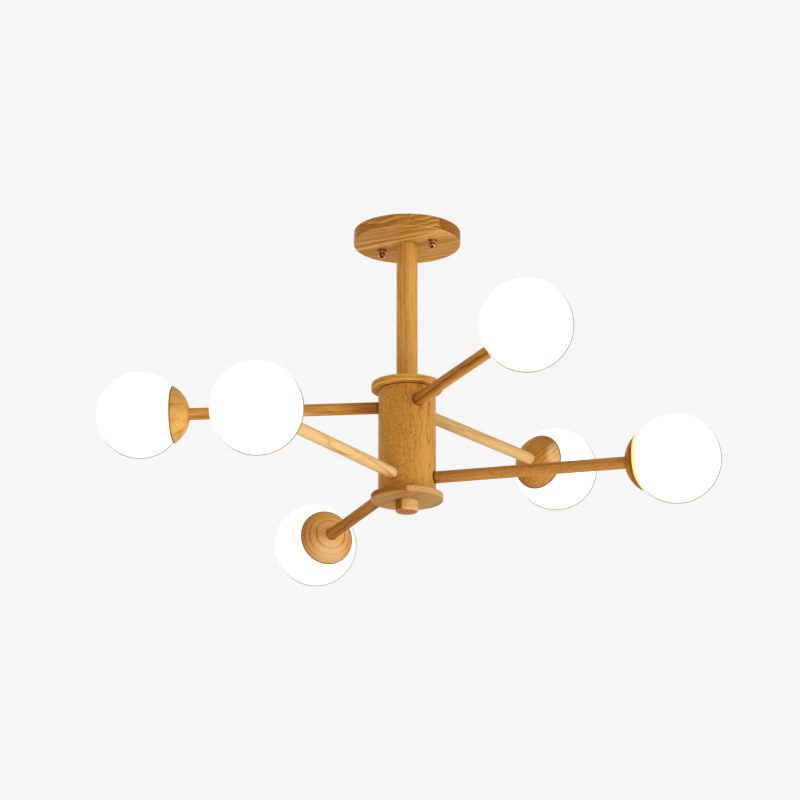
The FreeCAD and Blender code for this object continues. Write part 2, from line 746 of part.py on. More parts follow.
def make_arm_fittings():
    """Make the pipes through the arms, their nuts and washers in the drum, and the globes' gaskets."""
    pipes = []
    nuts = []
    washers = []
    gaskets = []
    washer_start = "Layout.nut_seat - Sizes.washer_thickness"
    nut_start = f"{washer_start} - Sizes.nut_height"
    for number in ARM_NUMBERS:
        pipe_spot = across_arm(number, "Layout.arm_pipe_start")
        pipes.append(ring(f"ArmPipe{number}", pipe_spot, "Sizes.pipe_diameter / 2", "Sizes.pipe_bore / 2",
                          "Layout.arm_pipe_end - Layout.arm_pipe_start"))
        nuts.append(hex_nut(f"ArmNut{number}", across_arm(number, nut_start), "Sizes.nut_flats",
                            "Layout.pipe_thread", "Sizes.nut_height"))
        washers.append(ring(f"ArmWasher{number}", across_arm(number, washer_start),
                            "Sizes.washer_diameter / 2", "Layout.pipe_hole", "Sizes.washer_thickness"))
        gaskets.append(ring(f"Gasket{number}", across_arm(number, "Layout.cup_floor"), "Layout.neck",
                            "Layout.neck_bore", "Sizes.gasket_thickness"))
    group("arm_pipes", pipes)
    group("arm_nuts", nuts)
    group("arm_washers", washers)
    group("neck_gaskets", gaskets)


def make_arm(number):
    """Bore one arm dowel for its pipe."""
    keep(tube_body(f"Arm{number}", across_arm(number, "Layout.arm_start"), "Sizes.arm_diameter / 2",
                   "Layout.pipe_hole", "Sizes.arm_length"), f"arm_{number}")


def make_cup(number):
    """Turn one cup: a domed back with the arm's socket, and a hollow that takes the globe's neck."""
    rim = "Sizes.cup_rim_diameter / 2"
    pocket_start = "Layout.globe_centre - sqrt(Layout.globe_seat ^ 2 - Layout.neck_pocket ^ 2)"
    corners = [
        ("Layout.cup_mouth", "Layout.arm_socket"),
        ("Layout.cup_rim", rim),
        ("Layout.cup_rim", "Layout.cup_lip"),
        (pocket_start, "Layout.neck_pocket"),
        ("Layout.cup_floor", "Layout.neck_pocket"),
        ("Layout.cup_floor", "Layout.pipe_hole"),
        ("Layout.arm_end", "Layout.pipe_hole"),
        ("Layout.arm_end", "Layout.arm_socket"),
    ]
    arcs = {
        0: ("Layout.cup_pole + Layout.cup_dome", ""),
        2: ("Layout.globe_centre", ""),
    }
    cup = turned_body(f"Cup{number}", along_arm(number), corners, arcs, upright=False)
    round_rims(cup, "Sizes.cup_rim_round", [(rim, "Layout.cup_rim")], upright=False)
    keep(cup, f"cup_{number}")


def make_holder(number):
    """Turn one lamp holder that screws onto the arm's pipe, and drill its two pin holes."""
    flange = "Sizes.holder_flange_diameter / 2"
    barrel = "Sizes.holder_diameter / 2"
    flange_face = "Layout.cup_floor + Sizes.holder_flange_thickness"
    corners = [
        ("Layout.cup_floor", "Layout.pipe_thread"),
        ("Layout.cup_floor", flange),
        (flange_face, flange),
        (flange_face, barrel),
        ("Layout.holder_top", barrel),
        ("Layout.holder_top", ""),
        ("Layout.arm_pipe_end", ""),
        ("Layout.arm_pipe_end", "Layout.pipe_thread"),
    ]
    holder = turned_body(f"Holder{number}", along_arm(number), corners, upright=False)
    pins = new_sketch(holder, "YZ_Plane", "Layout.holder_top")
    draw_circle_pair(pins, "Sizes.pin_diameter / 2 + Sizes.pin_clearance", "Sizes.pin_pitch / 2")
    cut_blind(holder, pins, "Sizes.pin_hole_depth")
    round_rims(holder, "Sizes.holder_end_round", [(barrel, "Layout.holder_top")], upright=False)
    keep(holder, f"holder_{number}")


def make_bulb(number):
    """Turn one plug-in lamp with a narrow base and a round end, and pad its two pins."""
    base = "Sizes.bulb_base_diameter / 2"
    envelope = "Sizes.bulb_diameter / 2"
    flare = "Layout.bulb_shoulder + Sizes.bulb_flare_length"
    crown = f"Layout.bulb_tip - {envelope}"
    corners = [
        ("Layout.bulb_start", ""),
        ("Layout.bulb_start", base),
        ("Layout.bulb_shoulder", base),
        (flare, envelope),
        (crown, envelope),
        ("Layout.bulb_tip", ""),
    ]
    bulb = turned_body(f"Bulb{number}", along_arm(number), corners, {4: (crown, "")}, upright=False)
    pins = new_sketch(bulb, "YZ_Plane", "Layout.bulb_start")
    draw_circle_pair(pins, "Sizes.pin_diameter / 2", "Sizes.pin_pitch / 2")
    pad_sketch(bulb, pins, "Sizes.pin_length", back=True)
    keep(bulb, f"bulb_{number}")


def make_globe(number):
    """Turn one hollow globe with a short straight neck."""
    centre = "Layout.globe_centre"
    bore_root = f"{centre} - sqrt(Layout.globe_inner ^ 2 - Layout.neck_bore ^ 2)"
    # A point on the globe's equator splits the outer and the inner arc, so each is under a half turn.
    corners = [
        (f"{centre} + Layout.globe", ""),
        (centre, "Layout.globe"),
        ("Layout.neck_root", "Layout.neck"),
        ("Layout.neck_end", "Layout.neck"),
        ("Layout.neck_end", "Layout.neck_bore"),
        (bore_root, "Layout.neck_bore"),
        (centre, "Layout.globe_inner"),
        (f"{centre} + Layout.globe_inner", ""),
    ]
    arcs = {index: (centre, "") for index in (0, 1, 5, 6)}
    globe = turned_body(f"Globe{number}", along_arm(number), corners, arcs, upright=False)
    keep(globe, f"globe_{number}")


def check_document():
    """Stop if any object failed or any sub-part is missing, broken or not made of solids."""
    doc.recompute()
    for item in doc.Objects:
        if "Invalid" in item.State or "Error" in item.State:
            raise RuntimeError(f"{item.Label} failed to build: {item.State}")
    for piece in pieces:
        shape = piece.Shape
        if shape.isNull() or not shape.isValid() or not shape.Solids:
            raise RuntimeError(f"{piece.Label} has no valid solid")


def write_parts():
    """Write each sub-part to its own file."""
    os.makedirs("parts", exist_ok=True)
    for piece in pieces:
        piece.Shape.exportStep(os.path.join("parts", f"{piece.Label}.step"))


make_canopy()
make_bracket()
make_studs()
make_terminal()
make_stem()
make_hub()
make_arm_fittings()
for arm_number in ARM_NUMBERS:
    make_arm(arm_number)
    make_cup(arm_number)
    make_holder(arm_number)
    make_bulb(arm_number)
    make_globe(arm_number)
check_document()
write_parts()
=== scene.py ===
"""Dresses a wooden ceiling light with six opal globes and sets it in a pale studio.

Lengths are in millimetres and become metres when a mesh is made.  The origin is on the ceiling at
the canopy's axis, with +Z up.  Odd arms leave the hub in the upper tier, even arms in the lower.
"""

import logging
import math
from collections.abc import Callable, Iterable, Mapping, Sequence
from dataclasses import dataclass, replace
from enum import Enum
from functools import cache

import bpy
import numpy as np
from mathutils import Matrix, Vector


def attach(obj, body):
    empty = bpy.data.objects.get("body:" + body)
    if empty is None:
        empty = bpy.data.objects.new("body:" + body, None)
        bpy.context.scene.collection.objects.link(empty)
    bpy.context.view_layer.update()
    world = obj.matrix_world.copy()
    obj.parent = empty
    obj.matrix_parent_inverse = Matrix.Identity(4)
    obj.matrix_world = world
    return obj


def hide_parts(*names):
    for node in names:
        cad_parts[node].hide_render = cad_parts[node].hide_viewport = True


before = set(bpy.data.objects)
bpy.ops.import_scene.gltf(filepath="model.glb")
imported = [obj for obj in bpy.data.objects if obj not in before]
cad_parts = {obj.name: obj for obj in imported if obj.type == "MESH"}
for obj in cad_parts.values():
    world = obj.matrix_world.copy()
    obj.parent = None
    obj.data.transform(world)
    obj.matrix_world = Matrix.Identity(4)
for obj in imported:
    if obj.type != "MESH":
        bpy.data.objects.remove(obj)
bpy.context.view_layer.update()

LOG = logging.getLogger("ceiling_light")
MM = 0.001

# Points closer than WELD are one; the offset keeps round sizes off the edge where rounding turns.
WELD = 1e-4
WELD_OFFSET = 0.377
SHARP_ANGLE = math.radians(38.0)
EASE_STEPS = 6
FLAT_SHARE = 1.7
THREAD_DEPTH = 0.6
THREAD_SIDES = 32
THREAD_ROWS = 8
SPOKE_SHARES = (0.0, 0.06, 0.16, 0.32, 0.6, 1.0)

Colour = tuple[float, float, float]
Point = tuple[float, float, float]
Corner = tuple[float, float, float]
Patch = tuple[np.ndarray, np.ndarray, np.ndarray]

ORIGIN: Point = (0.0, 0.0, 0.0)


@dataclass(frozen=True)
class Place:
    """A piece's own axes: upright under the ceiling, or lying along an arm's line."""

    azimuth: float = 0.0
    depth: float = 0.0
    lying: bool = False
    reach: float = 0.0

    def carry(self, points: np.ndarray) -> np.ndarray:
        """Turn points from the piece's own axes into the light's.

        An upright piece turns about Z and moves out by its reach.  A lying piece first swaps its
        axes, so that its own Z runs out along the arm and its own X hangs down.

        Args:
            points: array whose last axis holds x, y and z.

        Returns:
            The same array in the light's axes.
        """
        x, y, z = np.moveaxis(points, -1, 0)
        if self.lying:
            x, z = z, -x
        x = x + self.reach
        turn = math.radians(self.azimuth)
        east = x * math.cos(turn) - y * math.sin(turn)
        north = x * math.sin(turn) + y * math.cos(turn)
        return np.stack([east, north, z - self.depth], axis=-1)


UPRIGHT = Place()


@dataclass(frozen=True)
class Surface:
    """Points, faces, worn edges and painted shadow seams of a piece, held as whole arrays in millimetres."""

    points: np.ndarray
    quads: np.ndarray
    triangles: np.ndarray
    arris: np.ndarray

    def placed(self, place: Place, shift: Point = ORIGIN) -> "Surface":
        """Shift the skin within its own axes and carry it to its place."""
        return replace(self, points=place.carry(self.points + np.asarray(shift)))


def weld(points: np.ndarray, quads: np.ndarray, arris: np.ndarray) -> Surface:
    """Join points that coincide, drop collapsed faces and turn the whole skin outwards.

    The skin's signed volume is the sum of a . (b x c) / 6 over its triangles; a negative one
    means that the faces look inwards, and every face is then reversed.

    Args:
        points: point coordinates, one row each.
        quads: four point numbers a row.
        arris: how far each point lies on a worn edge, from 0 to 1, or below 0 in a seam painted with shadow.

    Returns:
        A closed skin with no double points.
    """
    keys = np.round(points / WELD + WELD_OFFSET).astype(np.int64)
    _, first, inverse = np.unique(keys, axis=0, return_index=True, return_inverse=True)
    corners = inverse.reshape(-1)[quads]
    collapsed = corners == np.roll(corners, -1, axis=1)
    whole = corners[~collapsed.any(axis=1)]
    once = collapsed.sum(axis=1) == 1
    pointed = corners[once][~collapsed[once]].reshape(-1, 3)
    kept = points[first]
    fans = np.concatenate([whole[:, [0, 1, 2]], whole[:, [0, 2, 3]], pointed])
    a, b, c = kept[fans[:, 0]], kept[fans[:, 1]], kept[fans[:, 2]]
    if np.einsum("ij,ij->", a, np.cross(b, c)) < 0:
        whole, pointed = whole[:, ::-1], pointed[:, ::-1]
    return Surface(kept, whole, pointed, arris[first])


def offsets(counts: Sequence[int]) -> np.ndarray:
    """Give where each list starts when lists of these lengths follow each other."""
    return np.cumsum([0, *counts[:-1]])


def grid_quads(rows: int, columns: int, ring_rows: bool, ring_columns: bool) -> np.ndarray:
    """Number the quads of a grid of points, row by row.

    Args:
        rows: rows of points.
        columns: points in a row.
        ring_rows: whether the last row joins the first.
        ring_columns: whether the last column joins the first.

    Returns:
        Point numbers of each quad, shaped (row gaps, column gaps, 4).
    """
    ids = np.arange(rows * columns).reshape(rows, columns)
    right, below = np.roll(ids, -1, axis=1), np.roll(ids, -1, axis=0)
    quads = np.stack([ids, right, np.roll(below, -1, axis=1), below], axis=-1)
    quads = quads if ring_rows else quads[:-1]
    return quads if ring_columns else quads[:, :-1]


def patch(grid: np.ndarray, ring: bool, flip: bool = False, edge_wear_and_shadow: np.ndarray | None = None) -> Patch:
    """Lay quads over open rows of points, which may each close to a ring; flip turns them round."""
    quads = grid_quads(*grid.shape[:2], False, ring)
    return grid, quads[..., ::-1] if flip else quads, np.zeros(len(grid)) if edge_wear_and_shadow is None else edge_wear_and_shadow


def joined(patches: Sequence[Patch]) -> Surface:
    """Put point grids with their quads together and weld them into one skin.

    Args:
        patches: for each grid its points (x y z last), its quads (four last) and its rows' wear, below 0
            where a seam is painted with shadow.

    Returns:
        One welded skin.
    """
    starts = offsets([grid.size // 3 for grid, _, _ in patches])
    points = np.concatenate([grid.reshape(-1, 3) for grid, _, _ in patches])
    quads = np.concatenate([each.reshape(-1, 4) + start for (_, each, _), start in zip(patches, starts)])
    wear_and_shadow = np.concatenate([np.broadcast_to(edge_wear_and_shadow[:, None], grid.shape[:2]).ravel()
                           for grid, _, edge_wear_and_shadow in patches])
    return weld(points, quads, wear_and_shadow)


def gathered(surfaces: Sequence[Surface]) -> Surface:
    """Collect separate skins in one surface without joining them.

    Args:
        surfaces: the skins.

    Returns:
        One surface that holds them all.
    """
    starts = offsets([len(each.points) for each in surfaces])
    return Surface(
        np.concatenate([each.points for each in surfaces]),
        np.concatenate([each.quads + start for each, start in zip(surfaces, starts)]),
        np.concatenate([each.triangles + start for each, start in zip(surfaces, starts)]),
        np.concatenate([each.arris for each in surfaces]),
    )


def eased(corners: Sequence[Corner]) -> tuple[np.ndarray, np.ndarray]:
    """Ease the corners of a closed half outline.

    A corner C with ease e becomes the parabola (1-t)^2 A + 2t(1-t) C + t^2 B, where A and B lie
    e from C on its two edges.  One more point on each edge, FLAT_SHARE e from C, keeps the flats
    flat.  A negative ease gives the same shape, but the corner is a seam painted with shadow.

    Args:
        corners: radius, height and ease of each corner, in order.

    Returns:
        The outline's points as (radius, height), and how worn each one is, below 0 in a seam painted with
        shadow.
    """
    table = np.asarray(corners, float)
    spot, ease, kind = table[:, :2], np.abs(table[:, 2]), np.sign(table[:, 2])
    before, after = np.roll(spot, 1, axis=0) - spot, np.roll(spot, -1, axis=0) - spot
    before = before / np.linalg.norm(before, axis=1, keepdims=True)
    after = after / np.linalg.norm(after, axis=1, keepdims=True)
    steps = np.linspace(0.0, 1.0, EASE_STEPS)
    shares_in = np.concatenate([[FLAT_SHARE], (1 - steps) ** 2, [0.0]])
    shares_out = np.concatenate([[0.0], steps ** 2, [FLAT_SHARE]])
    wear_and_shadow = np.concatenate([[0.0], 4 * steps * (1 - steps), [0.0]])
    points = (spot[:, None]
              + ease[:, None, None] * shares_in[None, :, None] * before[:, None]
              + ease[:, None, None] * shares_out[None, :, None] * after[:, None])
    edge_wear_and_shadow = kind[:, None] * wear_and_shadow[None]
    kept = (ease[:, None] > 0) | (np.arange(len(wear_and_shadow)) == 0)[None]
    return points[kept], edge_wear_and_shadow[kept]


def slant(side: float, reach: float) -> float:
    """Give the angle in degrees whose sine is side / reach."""
    return math.degrees(math.asin(side / reach))


def arc(centre: float, radius: float, start: float, end: float, count: int) -> list[Corner]:
    """Return corners along a circle on the axis, by the angle from the axis's low side.

    Args:
        centre: the circle's centre on the axis.
        radius: its radius.
        start: first angle in degrees, 0 on the axis below the centre.
        end: last angle in degrees.
        count: number of corners, both ends included.

    Returns:
        Corners with no ease: radius sin(angle), centre - radius cos(angle).
    """
    angle = np.radians(np.linspace(start, end, count))
    outline = np.stack([radius * np.sin(angle), centre - radius * np.cos(angle), 0 * angle], axis=1)
    return [tuple(corner) for corner in outline.tolist()]


def compass(sides: int) -> np.ndarray:
    """Give evenly spaced angles for one full turn."""
    return np.linspace(0, 2 * math.pi, sides, endpoint=False)


def around(radius: np.ndarray | float, angle: np.ndarray, height: np.ndarray | float) -> np.ndarray:
    """Put points round the Z axis, at (r cos a, r sin a, h)."""
    return np.stack(np.broadcast_arrays(radius * np.cos(angle), radius * np.sin(angle), height), axis=-1)


def skinned(grid: np.ndarray, place: Place, edge_wear_and_shadow: np.ndarray | None = None, ring: bool = True) -> Surface:
    """Weld rings of points round a piece's own axis; in a ring the last one joins the first."""
    wear_and_shadow = np.zeros(len(grid)) if edge_wear_and_shadow is None else edge_wear_and_shadow
    return joined([(place.carry(grid), grid_quads(*grid.shape[:2], ring, True), wear_and_shadow)])


def turned(corners: Sequence[Corner], place: Place = UPRIGHT, sides: int = 96) -> Surface:
    """Turn a closed half outline about its own Z axis: (r, h) goes round as (r cos a, r sin a, h)."""
    outline, edge_wear_and_shadow = eased(corners)
    return skinned(around(outline[:, :1], compass(sides), outline[:, 1:]), place, edge_wear_and_shadow)


def threaded_rod(radius: float, pitch: float, start: float, end: float, place: Place) -> Surface:
    """Cut a thread on a rod along its own Z axis.

    The radius falls from the crest by THREAD_DEPTH pitch times a triangle wave of z / pitch -
    angle / turn, and it runs out to a cone at both ends.

    Args:
        radius: crest radius.
        pitch: rise of one turn.
        start: lower end on the axis.
        end: upper end on the axis.
        place: where the rod's axes lie.

    Returns:
        The threaded skin in the light's axes.
    """
    angle = compass(THREAD_SIDES)[None]
    height = np.linspace(start, end, int((end - start) / pitch * THREAD_ROWS))[:, None]
    wave = np.abs(2 * np.mod(height / pitch - angle / (2 * math.pi), 1.0) - 1)
    cone = radius - THREAD_DEPTH * pitch + np.minimum(height - start, end - height)
    reach = np.minimum(radius - THREAD_DEPTH * pitch * wave, cone)
    tip = np.zeros_like(angle)
    rings = np.concatenate([tip, reach, tip])
    levels = np.concatenate([[[start]], height, [[end]]])
    return skinned(around(rings, angle, levels), place, ring=False)


@dataclass(frozen=True)
class HexNut:
    """A chamfered hexagonal nut, by its flats, bore radius and height."""

    flats: float
    bore: float
    height: float
    cone_share: float = 0.97
    lead_share: float = 0.08
    sides: int = 48
    rows: int = 9

    def skin(self, start: float, place: Place) -> Surface:
        """Shape the nut along its own Z axis.

        The side stands at flats / 2 / cos(angle from the nearest flat), but no further out than a
        30 degree cone at each end allows, which starts at cone_share of the flats.  The bore opens
        at both ends by lead_share of the flats.

        Args:
            start: lower end on the axis.
            place: where the nut's axes lie.

        Returns:
            The nut's skin in the light's axes.
        """
        angle = compass(self.sides)[None]
        away = np.mod(angle + math.pi / 6, math.pi / 3) - math.pi / 6
        depth = np.linspace(0.0, 1.0, self.rows)[:, None] * self.height
        cone = (self.cone_share * self.flats / 2
                + np.minimum(depth, self.height - depth) * math.sqrt(3.0))
        lead = self.lead_share * self.flats
        bore = self.bore + np.array([lead, 0.0, 0.0, lead])[:, None] * np.ones_like(angle)
        bore_depth = np.array([self.height, self.height - lead, lead, 0.0])[:, None]
        radius = np.concatenate([np.minimum(self.flats / 2 / np.cos(away), cone), bore])
        return skinned(around(radius, angle, start + np.concatenate([depth, bore_depth])), place)


def holed_cell(u: np.ndarray, v: np.ndarray, middle: tuple[float, float], stretch: float,
               hole: Callable[[np.ndarray], np.ndarray]) -> tuple[np.ndarray, np.ndarray]:
    """Grid a rectangle that has a hole, by spokes from the hole's edge to the rectangle's.

    A spoke's point is (1-s) times the hole's point plus s times the border's point in line with it.

    Args:
        u: border stations along the first parameter.
        v: border stations along the second parameter.
        middle: the hole's centre in both parameters.
        stretch: length of one unit of u over one unit of v.
        hole: gives the hole's edge, as (u, v), for each spoke's angle.

    Returns:
        The grid as (rings, spokes, 2), from the hole outwards, and the spokes' angles.
    """
    low, high = np.full_like(u, v[0]), np.full_like(u, v[-1])
    first, last = np.full_like(v, u[0]), np.full_like(v, u[-1])
    border = np.concatenate([np.stack(side, axis=1)[:-1] for side in
                             ((u, low), (last, v), (u[::-1], high), (first, v[::-1]))])
    angle = np.arctan2(border[:, 1] - middle[1], (border[:, 0] - middle[0]) * stretch)
    share = np.array(SPOKE_SHARES)[:, None, None]
    return (1 - share) * hole(angle)[None] + share * border[None], angle


@dataclass(frozen=True)
class Wire:
    """One value in a finish's node tree; arithmetic on it adds Math nodes."""

    bench: "Bench"
    socket: bpy.types.NodeSocket

    def maths(self, operation: str, *values: "Wire | float") -> "Wire":
        """Add a Math node for an operation on values, which are wires or numbers."""
        return self.bench.node("ShaderNodeMath", {"operation": operation}, dict(enumerate(values)))

    def __add__(self, other: "Wire | float") -> "Wire":
        """Add."""
        return self.maths("ADD", self, other)

    __radd__ = __add__

    def __sub__(self, other: "Wire | float") -> "Wire":
        """Subtract a value from this one."""
        return self.maths("SUBTRACT", self, other)

    def __rsub__(self, other: float) -> "Wire":
        """Subtract this value from a number."""
        return self.maths("SUBTRACT", other, self)

    def __mul__(self, other: "Wire | float") -> "Wire":
        """Multiply."""
        return self.maths("MULTIPLY", self, other)

    __rmul__ = __mul__

    def __truediv__(self, other: "Wire | float") -> "Wire":
        """Divide this value by another."""
        return self.maths("DIVIDE", self, other)

    def __pow__(self, other: "Wire | float") -> "Wire":
        """Raise to a power."""
        return self.maths("POWER", self, other)

    def fract(self) -> "Wire":
        """Keep the part after the point."""
        return self.maths("FRACT", self)

    def size(self) -> "Wire":
        """Drop the sign."""
        return self.maths("ABSOLUTE", self)

    def least(self, other: "Wire | float") -> "Wire":
        """Take the smaller of two values."""
        return self.maths("MINIMUM", self, other)

    def most(self, other: "Wire | float") -> "Wire":
        """Take the larger of two values."""
        return self.maths("MAXIMUM", self, other)

    def between(self, low: float, high: float) -> "Wire":
        """Rise smoothly from 0 at low to 1 at high."""
        return self.bench.node("ShaderNodeMapRange", {"interpolation_type": "SMOOTHSTEP"},
                               {"Value": self, "From Min": low, "From Max": high})

    def pick(self, name: str) -> "Wire":
        """Take another output of the node that this value comes from."""
        return Wire(self.bench, self.socket.node.outputs[name])


class Bench:
    """A node tree while a finish is wired on it."""

    def __init__(self, owner: bpy.types.Material | bpy.types.World) -> None:
        """Clear a material's or a world's tree for wiring."""
        owner.use_nodes = True
        self.tree = owner.node_tree
        self.tree.nodes.clear()

    def node(self, kind: str, settings: Mapping[str, object] | None = None,
             sockets: Mapping[str | int, object] | None = None, output: str | int = 0) -> Wire:
        """Add a node: its settings first, then the values or links of its sockets.

        Args:
            kind: the node's type.
            settings: properties of the node.
            sockets: input values, wires or numbers, by name or number.
            output: which output to return.

        Returns:
            The chosen output.
        """
        made = self.tree.nodes.new(kind)
        for name, setting in (settings or {}).items():
            setattr(made, name, setting)
        for name, given in (sockets or {}).items():
            if isinstance(given, Wire):
                self.tree.links.new(given.socket, made.inputs[name])
            else:
                made.inputs[name].default_value = given
        return Wire(self, made.outputs[output]) if made.outputs else Wire(self, None)

    def noise(self, spot: Wire, scale: float, detail: float = 2.0, roughness: float = 0.5) -> Wire:
        """Add soft noise at a spot; the scale is in waves to a millimetre."""
        return self.node("ShaderNodeTexNoise", {"noise_dimensions": "3D"},
                         {"Vector": spot, "Scale": scale, "Detail": detail, "Roughness": roughness})

    def vector(self, operation: str, *values: "Wire | Point", output: str | int = 0) -> Wire:
        """Add a Vector Math node on wires or points."""
        return self.node("ShaderNodeVectorMath", {"operation": operation}, dict(enumerate(values)), output)

    def dot(self, first: Wire, second: Point) -> Wire:
        """Multiply a vector by a direction, which tells how far along that direction it goes."""
        return self.vector("DOT_PRODUCT", first, second, output="Value")

    def drawn(self, spot: Wire, share: float) -> Wire:
        """Shrink a place along the grain, so that a pattern there is drawn out."""
        return self.vector("MULTIPLY", spot, (share, 1.0, 1.0))

    def part(self, vector: Wire, axis: str) -> Wire:
        """Take the size of a vector's part along X, Y or Z."""
        return self.node("ShaderNodeSeparateXYZ", {}, {0: vector}, axis).size()

    def blend(self, first: "Wire | Colour", second: "Wire | Colour", share: Wire) -> Wire:
        """Mix two colours by how much of the second there is, kept between 0 and 1."""
        ends = [end if isinstance(end, Wire) else (*end, 1.0) for end in (first, second)]
        return self.node("ShaderNodeMix", {"data_type": "RGBA", "clamp_factor": True},
                         {0: share, 6: ends[0], 7: ends[1]}, output=2)

    def bump(self, height: Wire, strength: float, distance: float) -> Wire:
        """Turn a height into a surface normal; the distance is in millimetres."""
        return self.node("ShaderNodeBump", {}, {"Strength": strength, "Distance": distance * MM,
                                                "Height": height})

    def aligned(self, vector: Wire, turn: Point, centre: Point = ORIGIN, unit: float = 1.0) -> Wire:
        """Read a vector on axes turned by degrees about X, Y and Z, from a centre and in a unit."""
        shift, angles = tuple(unit * part for part in centre), tuple(math.radians(part) for part in turn)
        return self.node("ShaderNodeMapping", {"vector_type": "TEXTURE"}, {
            "Vector": vector, "Location": shift, "Rotation": angles, "Scale": (unit, unit, unit)})

    def spot(self, centre: Point = ORIGIN, turn: Point = ORIGIN) -> Wire:
        """Give the surface's place in millimetres, from a centre and along axes turned by degrees."""
        return self.aligned(self.node("ShaderNodeTexCoord", output="Object"), turn, centre, MM)

    def normal(self) -> Wire:
        """Read which way the surface faces."""
        return self.node("ShaderNodeTexCoord", output="Normal")

    def wear_and_shadow(self) -> Wire:
        """Read how far the surface lies on a worn edge, or, below 0, in a seam painted with shadow."""
        return self.node("ShaderNodeAttribute", {"attribute_name": "arris"}, output="Fac")

    def seen_directly(self) -> Wire:
        """Tell whether a ray comes from the camera, a reflection or a clear body."""
        path = self.node("ShaderNodeLightPath", output="Is Camera Ray")
        return path.most(path.pick("Is Glossy Ray")).most(path.pick("Is Transmission Ray"))

    def surface(self, sockets: Mapping[str, object]) -> None:
        """End the tree in one shader with these socket values or wires."""
        shader = self.node("ShaderNodeBsdfPrincipled", {}, sockets)
        self.node("ShaderNodeOutputMaterial", {}, {"Surface": shader})


def dimmed(colour: Colour, share: float) -> Colour:
    """Scale a colour's parts, up to full brightness."""
    return tuple(min(1.0, share * part) for part in colour)


class Tone(Enum):
    """Wood tones on the light, each as the late wood's and the early wood's colour."""

    HONEY = ((0.620, 0.318, 0.078), (0.300, 0.100, 0.013))
    STRAW = ((0.625, 0.345, 0.082), (0.310, 0.113, 0.014))
    AMBER = ((0.672, 0.372, 0.096), (0.360, 0.128, 0.014))
    OCHRE = ((0.675, 0.357, 0.078), (0.340, 0.115, 0.011))
    ROSE = ((0.620, 0.320, 0.105), (0.300, 0.100, 0.014))
    PALE = ((0.640, 0.432, 0.200), (0.400, 0.205, 0.060))
    TAN = ((0.420, 0.260, 0.088), (0.293, 0.104, 0.015))
    GOLD = ((0.755, 0.448, 0.130), (0.440, 0.185, 0.028))
    BROWN = ((0.500, 0.215, 0.042), (0.200, 0.062, 0.008))
    NUT = ((0.530, 0.252, 0.064), (0.212, 0.074, 0.012))
    RUSSET = ((0.500, 0.185, 0.020), (0.220, 0.058, 0.005))


class Figure(Enum):
    """Patterns in wood: shrink along the grain, waves to a millimetre, detail and roughness."""

    DRIFT = (0.10, 0.035, 3.0, 0.5)
    RIPPLE = (0.10, 0.16, 2.0, 0.5)
    FADE = (0.10, 0.022, 1.0, 0.5)
    WAVE = (0.5, 0.07, 2.0, 0.5)
    FIBRE = (0.045, 1.5, 3.0, 0.65)
    STREAK = (0.045, 0.42, 2.0, 0.5)
    VESSEL = (0.07, 1.5, 1.0, 0.5)
    DASH = (0.5, 0.7, 2.0, 0.6)

    def on(self, bench: Bench, spot: Wire) -> Wire:
        """Wire this pattern's noise at a place on the wood's own axes."""
        share, *noise = self.value
        return bench.noise(bench.drawn(spot, share), *noise)


@dataclass(frozen=True)
class RimBand:
    """A band behind a cup's rim or at an arm's root: a painted shadow seam, or painted light leaking past the
    globe.
    """

    centre: Point
    axis: Point
    width: float
    lit: bool = False
    fade: float = 20.0
    fade_share: float = 0.22
    shade: Colour | None = None
    shadow_seam_core: float = 0.4
    shadow_seam_share: float = 0.95
    leak_reach: float = 40.0
    leak_edge: Colour = (1.0, 0.83, 0.25)
    leak_heart: Colour = (1.0, 0.98, 0.66)
    leak_strength: float = 0.95

    def paint(self, bench: Bench, colour: Wire, dark: Colour) -> dict[str, object]:
        """Darken the wood towards the band's edge; add painted seam shadow or painted leaking light.

        The distance ahead of the edge is the dot product of the band's axis and the place as seen
        from the edge's centre, below 0 on the side that shows.  The painted light reaches width times
        1 - (height / leak_reach)^4 behind the rim, so its edge is curved.

        Args:
            bench: the node tree.
            colour: the wood's colour.
            dark: the painted seam shadow's colour.

        Returns:
            The shader's sockets that this sets.
        """
        place = bench.spot(self.centre)
        ahead = bench.dot(place, self.axis)
        colour = bench.blend(colour, self.shade or dark, ahead.between(-self.fade, 0.0) * self.fade_share)
        # Unlit, the band is a seam painted with shadow; lit, the wood is painted with a glow of leaking
        # light.
        if not self.lit:
            shadow_seam = ahead.between(-self.width, -self.shadow_seam_core * self.width)
            return {"Base Color": bench.blend(colour, dark, shadow_seam * self.shadow_seam_share)}
        level = bench.part(place, "Z") / self.leak_reach
        inside = ahead + (1 - level ** 4.0) * self.width
        glow = bench.blend(ORIGIN, self.leak_edge, inside.between(0.0, 1.2))
        return {
            "Base Color": bench.blend(colour, dark, inside.between(-6.0, 0.0) * 0.5),
            "Emission Color": bench.blend(glow, self.leak_heart, inside.between(1.0, 5.0)),
            "Emission Strength": self.leak_strength,
        }


@dataclass(frozen=True)
class SapwoodAndHighlight:
    """Paler on one side: sapwood on cup 1, a painted highlight from below on cups 2 and 3 and arm 5."""

    side: Point
    low: float
    high: float
    share: float = 0.8
    colour: Colour = (0.60, 0.40, 0.20)

    def paint(self, bench: Bench, colour: Wire, normal: Wire, ragged: Wire) -> Wire:
        """Blend the paler colour in by how far the surface faces its side, as ragged as the grain is."""
        facing = bench.dot(normal, self.side).between(self.low, self.high)
        return bench.blend(colour, self.colour, facing * ragged * self.share)


